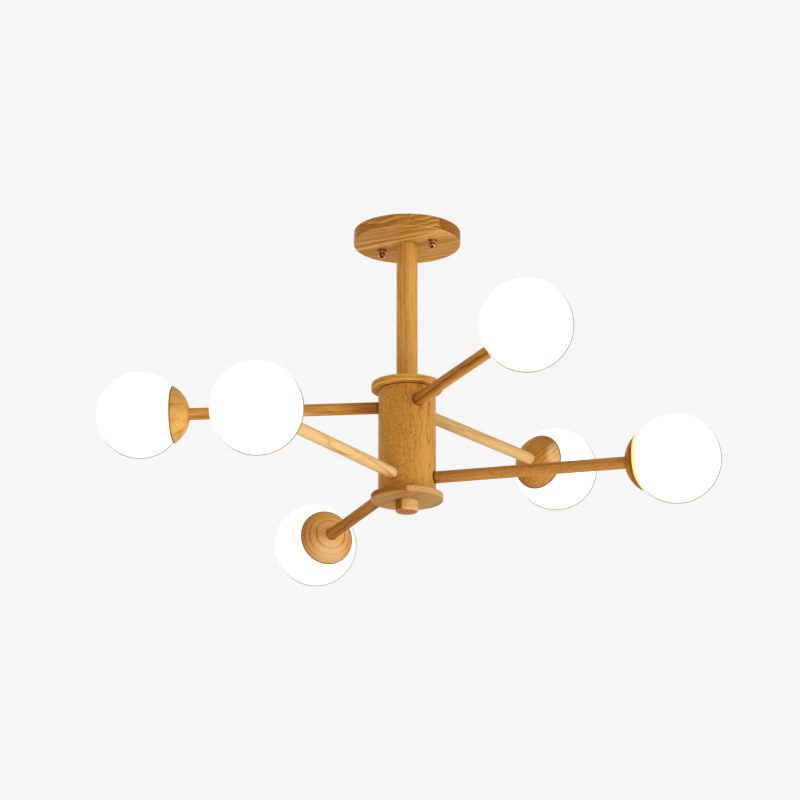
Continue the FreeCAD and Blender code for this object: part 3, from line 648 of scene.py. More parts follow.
@dataclass(frozen=True)
class Timber:
    """Lacquered ring-porous wood, sawn from a log whose heart lies beside the piece.

    The pattern's own X axis is the grain.  Growth rings are bands of the distance to the heart
    line, bent by slow noise; each starts with dark, open early wood and fades to late wood.
    """

    name: str
    tone: Tone
    centre: Point
    turn: Point
    heart: tuple[float, float]
    ring: float = 4.5
    contrast: float = 0.75
    taper: float = 2.2
    base: float = 0.22
    streaks: float = 1.1
    mottle: float = 0.012
    cloudy: float = 0.6
    wave: float = 0.0
    side_shade: float = 0.0
    pores: float = 0.55
    fleck: float = 0.0
    fleck_side: Point = (1.0, 0.0, 0.0)
    wander: float = 0.9
    end_from: float = 0.55
    end_full: float = 1.0
    end_share: float = 0.45
    end_colour: Colour | None = None
    edge: float = 0.35
    coat: float = 0.06
    coat_blur: float = 0.2
    pore_shade: float = 0.42
    dash_shade: float = 0.62
    seam_shadow_dim: float = 0.25
    rim: RimBand | None = None
    sapwood_and_highlight: SapwoodAndHighlight | None = None

    def rings(self, bench: Bench, spot: Wire) -> Wire:
        """Wire the growth rings' dark bands.

        The distance to the heart line over the ring's width, bent by noise, gives the phase.  Its
        part after the point, g, gives the band (1 - g)^taper with a quick rise at the ring's
        start, and slow noise fades some stretches.

        Args:
            bench: the node tree.
            spot: the place on the wood's own axes.

        Returns:
            How far the wood lies in a dark band, from 0 to 1.
        """
        away = bench.vector("SUBTRACT", bench.drawn(spot, 0.0), (0.0, *self.heart))
        phase = (bench.vector("LENGTH", away, output="Value") / self.ring
                 + (Figure.DRIFT.on(bench, spot) - 0.5) * (2.0 * self.wander)
                 + (Figure.RIPPLE.on(bench, spot) - 0.5) * (0.35 * self.wander))
        if self.wave:
            phase = phase + Figure.WAVE.on(bench, spot) * self.wave
        growth = phase.fract()
        band = (1 - growth) ** self.taper * (growth * (3.0 * self.taper)).least(1.0)
        return band * Figure.FADE.on(bench, spot).between(0.22, 0.6)

    def wire(self, bench: Bench) -> None:
        """Wire the wood's colour, gloss and grain relief.

        Args:
            bench: the cleared node tree.
        """
        late, early = self.tone.value
        deep = dimmed(early, self.pore_shade)
        spot, normal, wear_and_shadow = bench.spot(self.centre, self.turn), bench.normal(), bench.wear_and_shadow()
        band = self.rings(bench, spot)
        fibre = Figure.FIBRE.on(bench, spot) - 0.5
        streak = Figure.STREAK.on(bench, spot)
        cloud = bench.noise(bench.drawn(spot, 0.10), self.mottle) - 0.5
        pore = Figure.VESSEL.on(bench, spot).between(0.58, 0.68) * (0.35 + band * 0.9)
        # The fleck zone shows ray flecks and is also darkened by 0.15 in shade: painted shade on the faces
        # along fleck_side.
        fleck_and_shade_zone = bench.dot(normal, self.fleck_side).size().between(0.45, 0.90) * self.fleck
        dash = Figure.DASH.on(bench, spot).between(0.53, 0.62) * fleck_and_shade_zone
        band = band * (1 - fleck_and_shade_zone * 0.75)
        # Painted shade: faces that look sideways are darkened against those that look up or down.
        side_shade = 1 - bench.part(normal, "Z")
        shade = (band * self.contrast + (streak - 0.5) * self.streaks + fibre * 0.5
                 + cloud * self.cloudy + side_shade * self.side_shade + fleck_and_shade_zone * 0.15 + self.base)
        end = bench.part(bench.aligned(normal, self.turn), "X").between(self.end_from, self.end_full)
        colour = bench.blend(bench.blend(late, early, shade), self.end_colour or early,
                             end * (streak * 1.6).least(1.0) * self.end_share)
        # The paler side is sapwood on cup 1 and a painted highlight from below on cups 2 and 3 and arm 5.
        if self.sapwood_and_highlight is not None:
            ragged = (0.4 + streak * 1.2).least(1.0) * (1 - band * 0.8)
            colour = self.sapwood_and_highlight.paint(bench, colour, normal, ragged)
        for tint, share in (
            (deep, (pore * self.pores).least(0.8)),
            (dimmed(early, self.dash_shade), dash * 0.75),
            (late, wear_and_shadow * self.edge),
            # Below 0 the arris marks a seam, darkened here as painted shadow.
            (dimmed(early, self.seam_shadow_dim), (0 - wear_and_shadow) * 0.9),
        ):
            colour = bench.blend(colour, tint, share)
        height = fibre * 0.25 - pore * 0.8 - dash * 0.4 - band * 0.15
        sockets = {
            "Base Color": colour,
            "Roughness": 0.50 + fibre * 0.22 + pore * 0.25 - wear_and_shadow * 0.08,
            "Normal": bench.bump(height, 0.35, 0.12),
            "Coat Weight": self.coat,
            "Coat Roughness": self.coat_blur,
            "Specular IOR Level": 0.03,
        }
        if self.rim is not None:
            sockets.update(self.rim.paint(bench, colour, deep))
        bench.surface(sockets)


@dataclass(frozen=True)
class OpalGlass:
    """Lit white opal glass with a glossy skin; where it is seen edge on it is painted darker and warm, most
    on its shaded side.
    """

    name: str = "opal_glass"
    shaded_side: Point = (0.60, -0.10, -0.79)
    limb_from: float = 0.745
    limb_full: float = 0.805
    limb_least: float = 0.15
    strength: float = 0.84

    def wire(self, bench: Bench) -> None:
        """Wire the glow, its painted dark warm limb and the faint cloud in the glass.

        Args:
            bench: the cleared node tree.
        """
        cloud = bench.noise(bench.spot(), 0.05, 3.0)
        edge = bench.node("ShaderNodeLayerWeight", {}, {"Blend": 0.5}, "Facing")
        # The limb is painted shade, strongest on the shaded side.
        lean = bench.dot(bench.normal(), self.shaded_side).between(-0.65, 0.6)
        limb = edge.between(self.limb_from, self.limb_full) * (self.limb_least + lean * (1 - self.limb_least))
        milk = bench.blend((1.0, 1.0, 1.0), (1.0, 0.985, 0.95), cloud)
        body = bench.blend((0.50, 0.495, 0.48), (0.46, 0.455, 0.44), cloud)
        bench.surface({
            "Base Color": bench.blend(body, (0.13, 0.075, 0.035), limb),
            "Roughness": 0.12 + cloud * 0.05,
            "Emission Color": bench.blend(milk, (0.06, 0.032, 0.012), limb),
            "Emission Strength": self.strength,
            "Specular IOR Level": 0.2,
        })


@dataclass(frozen=True)
class Metal:
    """Bare or plated metal with fine turning lines, tarnish and brighter worn edges; on the ball nuts, dark
    patches painted as reflections.
    """

    name: str
    bright: Colour
    dull: Colour
    roughness: float
    cell: float = 0.0
    dark_reflection_side: Point | None = None
    dark: Colour = (0.012, 0.006, 0.004)

    def wire(self, bench: Bench) -> None:
        """Wire the metal's tint, tarnish, crystal spangle, painted dark reflection and scratches.

        Args:
            bench: the cleared node tree.
        """
        spot, wear_and_shadow = bench.spot(), bench.wear_and_shadow()
        # On the ball nuts these dark tarnish patches are painted dark reflections.
        tarnish_and_reflection = bench.noise(spot, 0.35, 4.0, 0.6)
        scratch = bench.noise(bench.vector("MULTIPLY", spot, (1.0, 1.0, 9.0)), 1.4)
        tint = bench.blend(self.bright, self.dull, tarnish_and_reflection.between(0.40, 0.62))
        gloss = self.roughness + (tarnish_and_reflection - 0.5) * 0.16 + (scratch - 0.5) * 0.10
        if self.cell:
            spangle = bench.node("ShaderNodeTexVoronoi", {"feature": "F1"},
                                 {"Vector": spot, "Scale": 1 / self.cell}, "Color")
            grey = bench.node("ShaderNodeRGBToBW", {}, {0: spangle})
            tint = bench.blend(tint, self.dull, grey * 0.5)
            gloss = gloss + (grey - 0.5) * 0.14
        # A painted dark reflection on the ball's lower front.
        if self.dark_reflection_side is not None:
            facing = bench.dot(bench.normal(), self.dark_reflection_side)
            tint = bench.blend(tint, self.dark, facing.between(0.90, 0.96))
        bench.surface({
            "Base Color": bench.blend(tint, dimmed(self.bright, 1.15), wear_and_shadow * 0.6),
            "Metallic": 1.0,
            "Roughness": (gloss - wear_and_shadow * 0.05).most(0.05),
            "Normal": bench.bump(scratch + tarnish_and_reflection * 0.5, 0.12, 0.02),
        })


@dataclass(frozen=True)
class Moulded:
    """Ceramic, plastic or rubber: one body colour with specks, soft clouding and a slight skin."""

    name: str
    body: Colour
    speck: Colour
    roughness: float
    coat: float = 0.0
    glow: Colour | None = None
    glow_strength: float = 0.9

    def wire(self, bench: Bench) -> None:
        """Wire the body colour, its specks and its surface skin.

        Args:
            bench: the cleared node tree.
        """
        spot = bench.spot()
        cloud = bench.noise(spot, 0.12, 3.0)
        dust_and_shadow = bench.noise(spot, 2.6).between(0.66, 0.74)
        skin = bench.noise(spot, 1.1, 3.0)
        shaded = dimmed(self.body, 0.9)
        sockets = {
            "Base Color": bench.blend(bench.blend(self.body, shaded, cloud), self.speck, dust_and_shadow * 0.5),
            "Roughness": self.roughness + (skin - 0.5) * 0.12,
            "Normal": bench.bump(skin, 0.10, 0.03),
            "Coat Weight": self.coat,
            "Coat Roughness": 0.08,
        }
        if self.glow is not None:
            sockets["Emission Color"] = bench.blend(self.glow, shaded, cloud * 0.2)
            sockets["Emission Strength"] = self.glow_strength
        bench.surface(sockets)


Finish = Timber | OpalGlass | Metal | Moulded

OPAL = OpalGlass()
# The ball nuts' dark tarnish patches and dark lower-front patch are painted dark reflections.
BALL_BRASS = Metal("ball_brass", (0.70, 0.36, 0.16), (0.09, 0.02, 0.004), 0.06,
                   dark_reflection_side=(-0.05, -0.80, -0.60))
BRASS = Metal("plain_brass", (0.80, 0.58, 0.26), (0.48, 0.30, 0.10), 0.26)
ZINC = Metal("zinc_steel", (0.66, 0.67, 0.69), (0.42, 0.43, 0.45), 0.34, cell=1.6)
CERAMIC = Moulded("glazed_ceramic", (0.80, 0.78, 0.72), (0.52, 0.46, 0.38), 0.16, coat=0.5)
NYLON = Moulded("terminal_nylon", (0.74, 0.73, 0.68), (0.60, 0.58, 0.52), 0.46)
SILICONE = Moulded("gasket_silicone", (0.66, 0.66, 0.63), (0.78, 0.78, 0.76), 0.52)
FROSTED = Moulded("frosted_lamp", (0.86, 0.85, 0.80), (0.92, 0.91, 0.88), 0.34, glow=(1.0, 0.95, 0.86))

STUD_NUT = HexNut(7.0, 2.05, 3.2)
PIPE_NUT = HexNut(14.0, 5.05, 4.0)


@cache
def material_of(finish: Finish) -> bpy.types.Material:
    """Make a finish's material once and return it each time.

    Args:
        finish: what the material looks like.

    Returns:
        The finished material.
    """
    material = bpy.data.materials.new(finish.name)
    finish.wire(Bench(material))
    return material


def show(name: str, data: bpy.types.ID) -> bpy.types.Object:
    """Put a mesh, a light or a camera into the scene.

    Args:
        name: the object's name.
        data: what it shows.

    Returns:
        The object, at the origin.
    """
    shown = bpy.data.objects.new(name, data)
    bpy.context.scene.collection.objects.link(shown)
    return shown


def add_piece(name: str, surface: Surface, finish: Finish, stands_for: Sequence[str] = (),
              body: str = "fixture") -> None:
    """Make an object of a skin, dress it and let it ride on its body.

    Args:
        name: the piece's name.
        surface: its skin in millimetres.
        finish: what it is made of.
        stands_for: solids that it is shown in place of.
        body: the body that it moves with.
    """
    mesh = bpy.data.meshes.new(name)
    mesh.from_pydata((surface.points * MM).tolist(), [],
                     surface.quads.tolist() + surface.triangles.tolist())
    mesh.attributes.new("arris", "FLOAT", "POINT").data.foreach_set("value", surface.arris)
    mesh.polygons.foreach_set("use_smooth", np.ones(len(mesh.polygons), bool))
    mesh.set_sharp_from_angle(angle=SHARP_ANGLE)
    mesh.materials.append(material_of(finish))
    mesh.update()
    piece = show(name, mesh)
    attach(piece, body)
    if stands_for:
        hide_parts(*stands_for)
    LOG.info("%s: %d faces on %s", name, len(mesh.polygons), body)


def add_nuts(name: str, node: str, nut: HexNut, seats: Iterable[tuple[float, Place]]) -> None:
    """Show zinc nuts in place of a solid, each by its lower end on its axis and its place."""
    add_piece(name, gathered([nut.skin(*seat) for seat in seats]), ZINC, [node])


def dress(finish: Finish, *nodes: str) -> None:
    """Give carried-over solids their finish.

    Args:
        finish: what they are made of.
        nodes: the solids' names.
    """
    for node in nodes:
        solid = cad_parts[node]
        solid.data.materials.clear()
        solid.data.materials.append(material_of(finish))
        LOG.info("%s: dressed in %s", node, finish.name)


@dataclass(frozen=True)
class Canopy:
    """The ceiling disc with its strap, studs, ball nuts and mains terminals."""

    radius: float = 74.5
    thickness: float = 18.4
    recess: float = 62.5
    floor: float = 4.8
    edge: float = 1.5
    mouth_ease: float = 0.5
    corner_ease: float = 0.8
    pipe_hole: float = 5.25
    azimuth: float = -23.0
    grain_azimuth: float = -20.0
    stud_reach: float = 40.2
    stud: float = 2.0
    stud_hole: float = 2.4
    stud_end: float = 24.9
    stud_pitch: float = 0.7
    strap: float = 2.0
    collar: float = 6.25
    collar_height: float = 4.5
    collar_ease: float = 0.6
    collar_seam: float = 0.35
    ball: float = 5.3
    ball_drop: float = 8.2
    ball_bore: float = 7.0
    cell_inner: float = 30.0
    cell_outer: float = 50.0
    cell_slack: float = 0.1
    steps: int = 120
    cell_steps: int = 4

    def disc(self) -> Surface:
        """Turn the disc and open its two stud holes.

        The turned grid leaves out the cells around the holes, on the underside and on the recess
        floor; spokes fill them, and a straight wall joins the two rings of each hole.

        Returns:
            The disc's skin.
        """
        low, roof = -self.thickness, self.floor - self.thickness
        outline, edge_wear_and_shadow = eased([
            (self.pipe_hole, low, 0), (self.cell_inner, low, 0), (self.cell_outer, low, 0),
            (self.radius, low, self.edge), (self.radius, 0, self.edge), (self.recess, 0, self.mouth_ease),
            (self.recess, roof, self.corner_ease), (self.cell_outer, roof, 0), (self.cell_inner, roof, 0),
            (self.pipe_hole, roof, 0),
        ])
        grid = around(outline[:, :1], compass(self.steps), outline[:, 1:])
        quads = grid_quads(len(outline), self.steps, True, True)
        inside = ((outline[:, 0] >= self.cell_inner - self.cell_slack)
                  & (outline[:, 0] <= self.cell_outer + self.cell_slack))
        rows = inside & np.roll(inside, -1)
        turn = np.arange(self.steps) % (self.steps // 2)
        columns = (turn < self.cell_steps) | (turn >= self.steps // 2 - self.cell_steps)
        patches = [(grid, quads[~(rows[:, None] & columns[None])], edge_wear_and_shadow)]
        half = self.cell_steps * 2 * math.pi / self.steps
        stations = np.linspace(-half, half, 2 * self.cell_steps + 1)
        cell, _ = holed_cell(stations, np.array([self.cell_inner, self.cell_outer]),
                             (0.0, self.stud_reach), self.stud_reach, self.hole_edge)
        for side in (0.0, math.pi):
            under, over = (around(cell[..., 1], cell[..., 0] + side, level) for level in (low, roof))
            patches += [patch(under, True, True), patch(over, True),
                        patch(np.stack([under[0], over[0]]), True)]
        return joined(patches).placed(Place(self.azimuth))

    def hole_edge(self, angle: np.ndarray) -> np.ndarray:
        """Give a stud hole's edge in polar form.

        Args:
            angle: angles round the hole's centre.

        Returns:
            Each point's angle and distance about the canopy's axis.
        """
        x = self.stud_reach + self.stud_hole * np.sin(angle)
        y = self.stud_hole * np.cos(angle)
        return np.stack([np.arctan2(y, x), np.hypot(x, y)], axis=1)

    def ball_nut(self, place: Place) -> Surface:
        """Turn a ball nut: a ball under an eased collar, with a blind bore for the stud.

        Args:
            place: the stud's axes.

        Returns:
            The nut's skin.
        """
        top, bore = -self.thickness, STUD_NUT.bore
        waist = math.degrees(math.acos((self.collar_height - self.ball_drop) / self.ball))
        return turned([
            *arc(top - self.ball_drop, self.ball, 0.0, waist, 28),
            (self.collar, top - self.collar_height, self.collar_ease),
            (self.collar, top, self.collar_seam), (bore, top, 0),
            (bore, top - self.ball_bore, 0), (0.0, top - self.ball_bore, 0),
        ], place, 64)

    def build(self) -> None:
        """Build the canopy's pieces and dress the solids that are kept."""
        board = Timber("canopy_board", Tone.STRAW, (0.0, 0.0, -9.0), (0.0, 0.0, self.grain_azimuth),
                       (-16.0, -58.0), ring=8.0, contrast=-1.4, taper=3.0, base=0.76, side_shade=0.2,
                       pores=0.35, wander=1.2, end_from=0.885, end_full=0.90, end_share=1.2,
                       end_colour=(0.24, 0.078, 0.010), edge=0.4, coat=0.13, coat_blur=0.12)
        add_piece("canopy_board", self.disc(), board, ["canopy_disc"])
        places = [Place(self.azimuth + side, reach=self.stud_reach) for side in (0.0, 180.0)]
        studs = [threaded_rod(self.stud, self.stud_pitch, -self.stud_end, 0.0, place) for place in places]
        add_piece("canopy_studs_threaded", gathered(studs), ZINC, ["canopy_studs"])
        add_nuts("stud_lock_nuts_hex", "stud_lock_nuts", STUD_NUT,
                 [(-self.strap - STUD_NUT.height, place) for place in places])
        add_piece("ball_nuts_pair", gathered([self.ball_nut(place) for place in places]),
                  BALL_BRASS, ["ball_nuts"])
        dress(ZINC, "ceiling_bracket")
        dress(NYLON, "terminal_block")
        dress(BRASS, "terminal_screws")


@dataclass(frozen=True)
class Stem:
    """The wooden stem, and the pipe that clamps canopy, stem and hub together."""

    radius: float = 14.6
    bore: float = 5.25
    top: float = 18.4
    bottom: float = 223.2
    ease: float = 0.6
    nut_tops: tuple[float, float] = (8.1, 237.5)

    def build(self) -> None:
        """Build the stem and its nuts, and dress the pipe."""
        wood = Timber("stem_wood", Tone.AMBER, (0.0, 0.0, -122.0), (0.0, -90.0, 0.0), (38.0, 30.0),
                      ring=5.0, contrast=0.5, streaks=0.8, pores=0.7, coat=0.15, coat_blur=0.35)
        # Negative eases make the stem's ends seams painted with shadow, where it meets the canopy and the
        # hub.
        corners = [(self.bore, -self.bottom, 0), (self.radius, -self.bottom, -self.ease),
                   (self.radius, -self.top, -self.ease), (self.bore, -self.top, 0)]
        add_piece("stem_dowel", turned(corners), wood, ["stem"])
        add_nuts("pipe_nuts_hex", "pipe_nuts", PIPE_NUT,
                 [(-top - PIPE_NUT.height, UPRIGHT) for top in self.nut_tops])
        dress(ZINC, "lamp_pipe", "pipe_washers")


@dataclass(frozen=True)
class Hub:
    """The drum that takes the arms, between two discs, closed by the finial."""

    azimuths: tuple[float, ...]
    depths: tuple[float, ...]
    drum: float = 39.5
    drum_inner: float = 28.5
    drum_top: float = 232.0
    drum_bottom: float = 380.8
    drum_ease: float = 1.8
    drum_bulge: float = 0.06
    upper_cell: float = 280.0
    lower_cell: float = 339.2
    socket: float = 8.35
    socket_floor: float = 34.5
    socket_ease: float = 0.8
    socket_bulge: float = 0.3
    pipe_hole: float = 5.25
    nut_seat: float = 29.1
    nut_seat_radius: float = 9.5
    disc: float = 49.25
    disc_thickness: float = 8.8
    disc_round: float = 1.4
    spigot: float = 28.3
    spigot_height: float = 4.0
    spigot_ease: float = 0.5
    finial: float = 15.5
    finial_height: float = 16.0
    finial_round: float = 3.0
    finial_seam: float = 0.8
    insert_hole: float = 7.05
    insert_floor: float = 5.0
    spokes: int = 12
    wall_rows: int = 5

    def drum_skin(self) -> Surface:
        """Grid the drum wall in one sector for each arm, and open its sockets.

        A sector's wall is (R cos a, R sin a, z).  Its cell beside the arm is gridded by spokes
        round the socket, the rest of the sector in plain rows, and a stepped tube joins the outer
        cell to the inner one: the arm's socket, its floor, the pipe's hole and the nut's seat.

        Returns:
            The drum's skin.
        """
        order = np.argsort(self.azimuths)
        middles = np.radians(np.asarray(self.azimuths)[order])
        ends = np.concatenate([middles, [middles[0] + 2 * math.pi]])
        edges = (ends[:-1] + ends[1:]) / 2
        edges = np.concatenate([[edges[-1] - 2 * math.pi], edges])
        levels = [np.linspace(-self.drum_top - self.drum_ease, -self.upper_cell, self.spokes + 1),
                  np.linspace(-self.upper_cell, -self.lower_cell, self.wall_rows),
                  np.linspace(-self.lower_cell, self.drum_ease - self.drum_bottom, self.spokes + 1)]
        patches = []
        for index, number in enumerate(order):
            stations = np.linspace(edges[index], edges[index + 1], 2 * self.spokes + 1)
            patches += self.sector(stations, levels, middles[index], self.depths[number])
        return joined(patches)

    def sector(self, stations: np.ndarray, levels: Sequence[np.ndarray], middle: float,
               depth: float) -> list[Patch]:
        """Grid one sector of the drum: its two walls, its eased ends and its socket.

        Args:
            stations: angles from one edge of the sector to the other.
            levels: heights of the upper cell, the wall between and the lower cell.
            middle: the arm's azimuth in radians.
            depth: the arm's depth below the ceiling.

        Returns:
            For each grid its points, quads, and wear with painted seam shadow.
        """
        high = depth < self.upper_cell
        cell_levels = levels[0] if high else levels[2]
        wall_levels = np.concatenate([levels[1], levels[2][1:]] if high else [levels[0], levels[1][1:]])
        mean = (self.drum + self.drum_inner) / 2
        patches = []
        for radius, hole, outside in ((self.drum, self.socket + self.socket_ease, True),
                                      (self.drum_inner, self.nut_seat_radius, False)):
            def edge(angle: np.ndarray, radius: float = radius, hole: float = hole) -> np.ndarray:
                """Give the socket's edge on the wall for each angle round the arm."""
                return np.stack([middle + np.arcsin(hole * np.cos(angle) / radius),
                                 hole * np.sin(angle) - depth], axis=1)

            cell, angle = holed_cell(stations, cell_levels, (middle, -depth), mean, edge)
            patches += [patch(around(radius, cell[..., 0], cell[..., 1]), True, not outside),
                        patch(around(radius, stations[None], wall_levels[:, None]), False, outside)]
        ease, bulge = self.drum_ease, self.drum_bulge * self.drum_ease
        radii = np.array([self.drum, self.drum - bulge, self.drum - ease, self.drum_inner + ease,
                          self.drum_inner])[:, None]
        drop = np.array([ease, ease - bulge, 0.0, 0.0, ease])[:, None]
        # The groove rows at each end of the drum are painted with seam shadow (-1).
        dust_and_shadow = np.array([0.0, -1.0, -1.0, -1.0, 0.0])
        for level, way in ((-self.drum_top, -1.0), (-self.drum_bottom, 1.0)):
            patches.append(patch(around(radii, stations, level + way * drop), False, way > 0, dust_and_shadow))
        return patches + [self.socket_tube(angle, middle, depth)]

    def socket_tube(self, angle: np.ndarray, middle: float, depth: float) -> Patch:
        """Line one arm's way through the wall, from its eased mouth to the nut's seat.

        A ring of radius h lies at (out, h cos a, h sin a) on the arm's own axes; where it meets a
        wall of radius R, its distance out is sqrt(R^2 - (h cos a)^2).

        Args:
            angle: the spokes' angles round the arm.
            middle: the arm's azimuth in radians.
            depth: the arm's depth below the ceiling.

        Returns:
            The tube's points, quads and painted shadow past the socket's mouth.
        """
        side, ease, bulge = np.cos(angle), self.socket_ease, self.socket_bulge * self.socket_ease
        outer = np.sqrt(self.drum ** 2 - ((self.socket + ease) * side) ** 2)
        inner = np.sqrt(self.drum_inner ** 2 - (self.nut_seat_radius * side) ** 2)
        rings = [
            (outer, self.socket + ease), (outer - bulge, self.socket + bulge), (outer - ease, self.socket),
            (self.socket_floor, self.socket), (self.socket_floor, self.pipe_hole),
            (self.nut_seat, self.pipe_hole), (self.nut_seat, self.nut_seat_radius),
            (inner, self.nut_seat_radius),
        ]
        out = np.stack([np.broadcast_to(reach, side.shape) for reach, _ in rings])
        hole = np.array([radius for _, radius in rings])[:, None]
        tube = np.stack([out, hole * side, hole * np.sin(angle)], axis=-1)
        # Past its mouth the socket is painted with shadow (-1).
        dust_and_shadow = np.where(np.arange(len(rings)) > 0, -1.0, 0.0)
        return patch(Place(math.degrees(middle), depth).carry(tube), True, True, dust_and_shadow)

    def build(self) -> None:
        """Build the hub's wood and dress its insert."""
        top, low = -self.drum_top, -self.drum_bottom
        roof, base = top + self.disc_thickness, low - self.disc_thickness
        tip, rise = base - self.finial_height, self.spigot_height
        upper = [(self.pipe_hole, top - rise, 0), (self.spigot, top - rise, self.spigot_ease),
                 (self.spigot, top, 0), (self.disc, top, self.disc_round), (self.disc, roof, self.disc_round),
                 (self.pipe_hole, roof, 0)]
        lower = [(self.pipe_hole, base, 0), (self.disc, base, self.disc_round),
                 (self.disc, low, self.disc_round), (self.spigot, low, 0),
                 (self.spigot, low + rise, self.spigot_ease), (self.pipe_hole, low + rise, 0)]
        # The finial's upper corner, under the base disc, is a seam painted with shadow.
        knob = [(0.0, tip, 0), (self.finial, tip, self.finial_round), (self.finial, base, -self.finial_seam),
                (self.insert_hole, base, 0), (self.insert_hole, tip + self.insert_floor, 0),
                (0.0, tip + self.insert_floor, 0)]
        disc_wood = Timber("hub_top_wood", Tone.GOLD, (0.0, 0.0, top), (0.0, 0.0, 8.0), (-20.0, -70.0),
                           ring=6.0, base=0.56, streaks=0.9, edge=0.8)
        drum_wood = Timber("hub_drum_wood", Tone.OCHRE, (0.0, 0.0, -306.0), (0.0, -90.0, 20.0), (70.0, 46.0),
                           ring=3.2, contrast=1.1, taper=5.0, base=0.30, streaks=0.35, pores=0.3, fleck=0.9,
                           fleck_side=(-0.375, -0.927, 0.0), wander=1.2, wave=2.6, coat=0.15, coat_blur=0.35)
        base_wood = Timber("hub_base_wood", Tone.TAN, (0.0, 0.0, base), (0.0, 0.0, -40.0), (30.0, 80.0),
                           ring=9.0, contrast=0.35, base=0.3, side_shade=0.8, end_from=0.70, end_full=0.72,
                           end_share=0.95, end_colour=(0.61, 0.355, 0.148), edge=0.6)
        knob_wood = Timber("finial_wood", Tone.HONEY, (0.0, 0.0, tip), (0.0, 0.0, -56.0), (16.0, 6.0),
                           ring=3.6, contrast=0.5, base=0.82, side_shade=0.18, end_from=0.55, end_full=0.60,
                           end_share=1.0, end_colour=(0.68, 0.445, 0.192), coat=0.15)
        for name, skin, wood, node in (
            ("hub_top_turned", turned(upper), disc_wood, "hub_top_disc"),
            ("hub_drum_bored", self.drum_skin(), drum_wood, "hub_drum"),
            ("hub_base_turned", turned(lower), base_wood, "hub_bottom_disc"),
            ("finial_knob", turned(knob), knob_wood, "finial"),
        ):
            add_piece(name, skin, wood, [node])
        dress(BRASS, "finial_insert")


@dataclass(frozen=True)
class ArmSet:
    """The pipes, nuts, washers and gaskets that the six arms share."""

    azimuths: tuple[float, ...]
    depths: tuple[float, ...]
    nut_start: float = 23.6

    def build(self) -> None:
        """Build the nuts in the drum and dress the rest."""
        add_nuts("arm_nuts_hex", "arm_nuts", PIPE_NUT,
                 [(self.nut_start, Place(*line, True)) for line in zip(self.azimuths, self.depths)])
        dress(ZINC, "arm_pipes", "arm_washers")
        dress(SILICONE, "neck_gaskets")


@dataclass(frozen=True)
class Grain:
    """How one arm and its cup were cut, with their patterns turned as if the arm lay along +X."""

    arm: Timber
    cup: Timber
    root_shade: float = 0.25
    lit_rim: bool = False


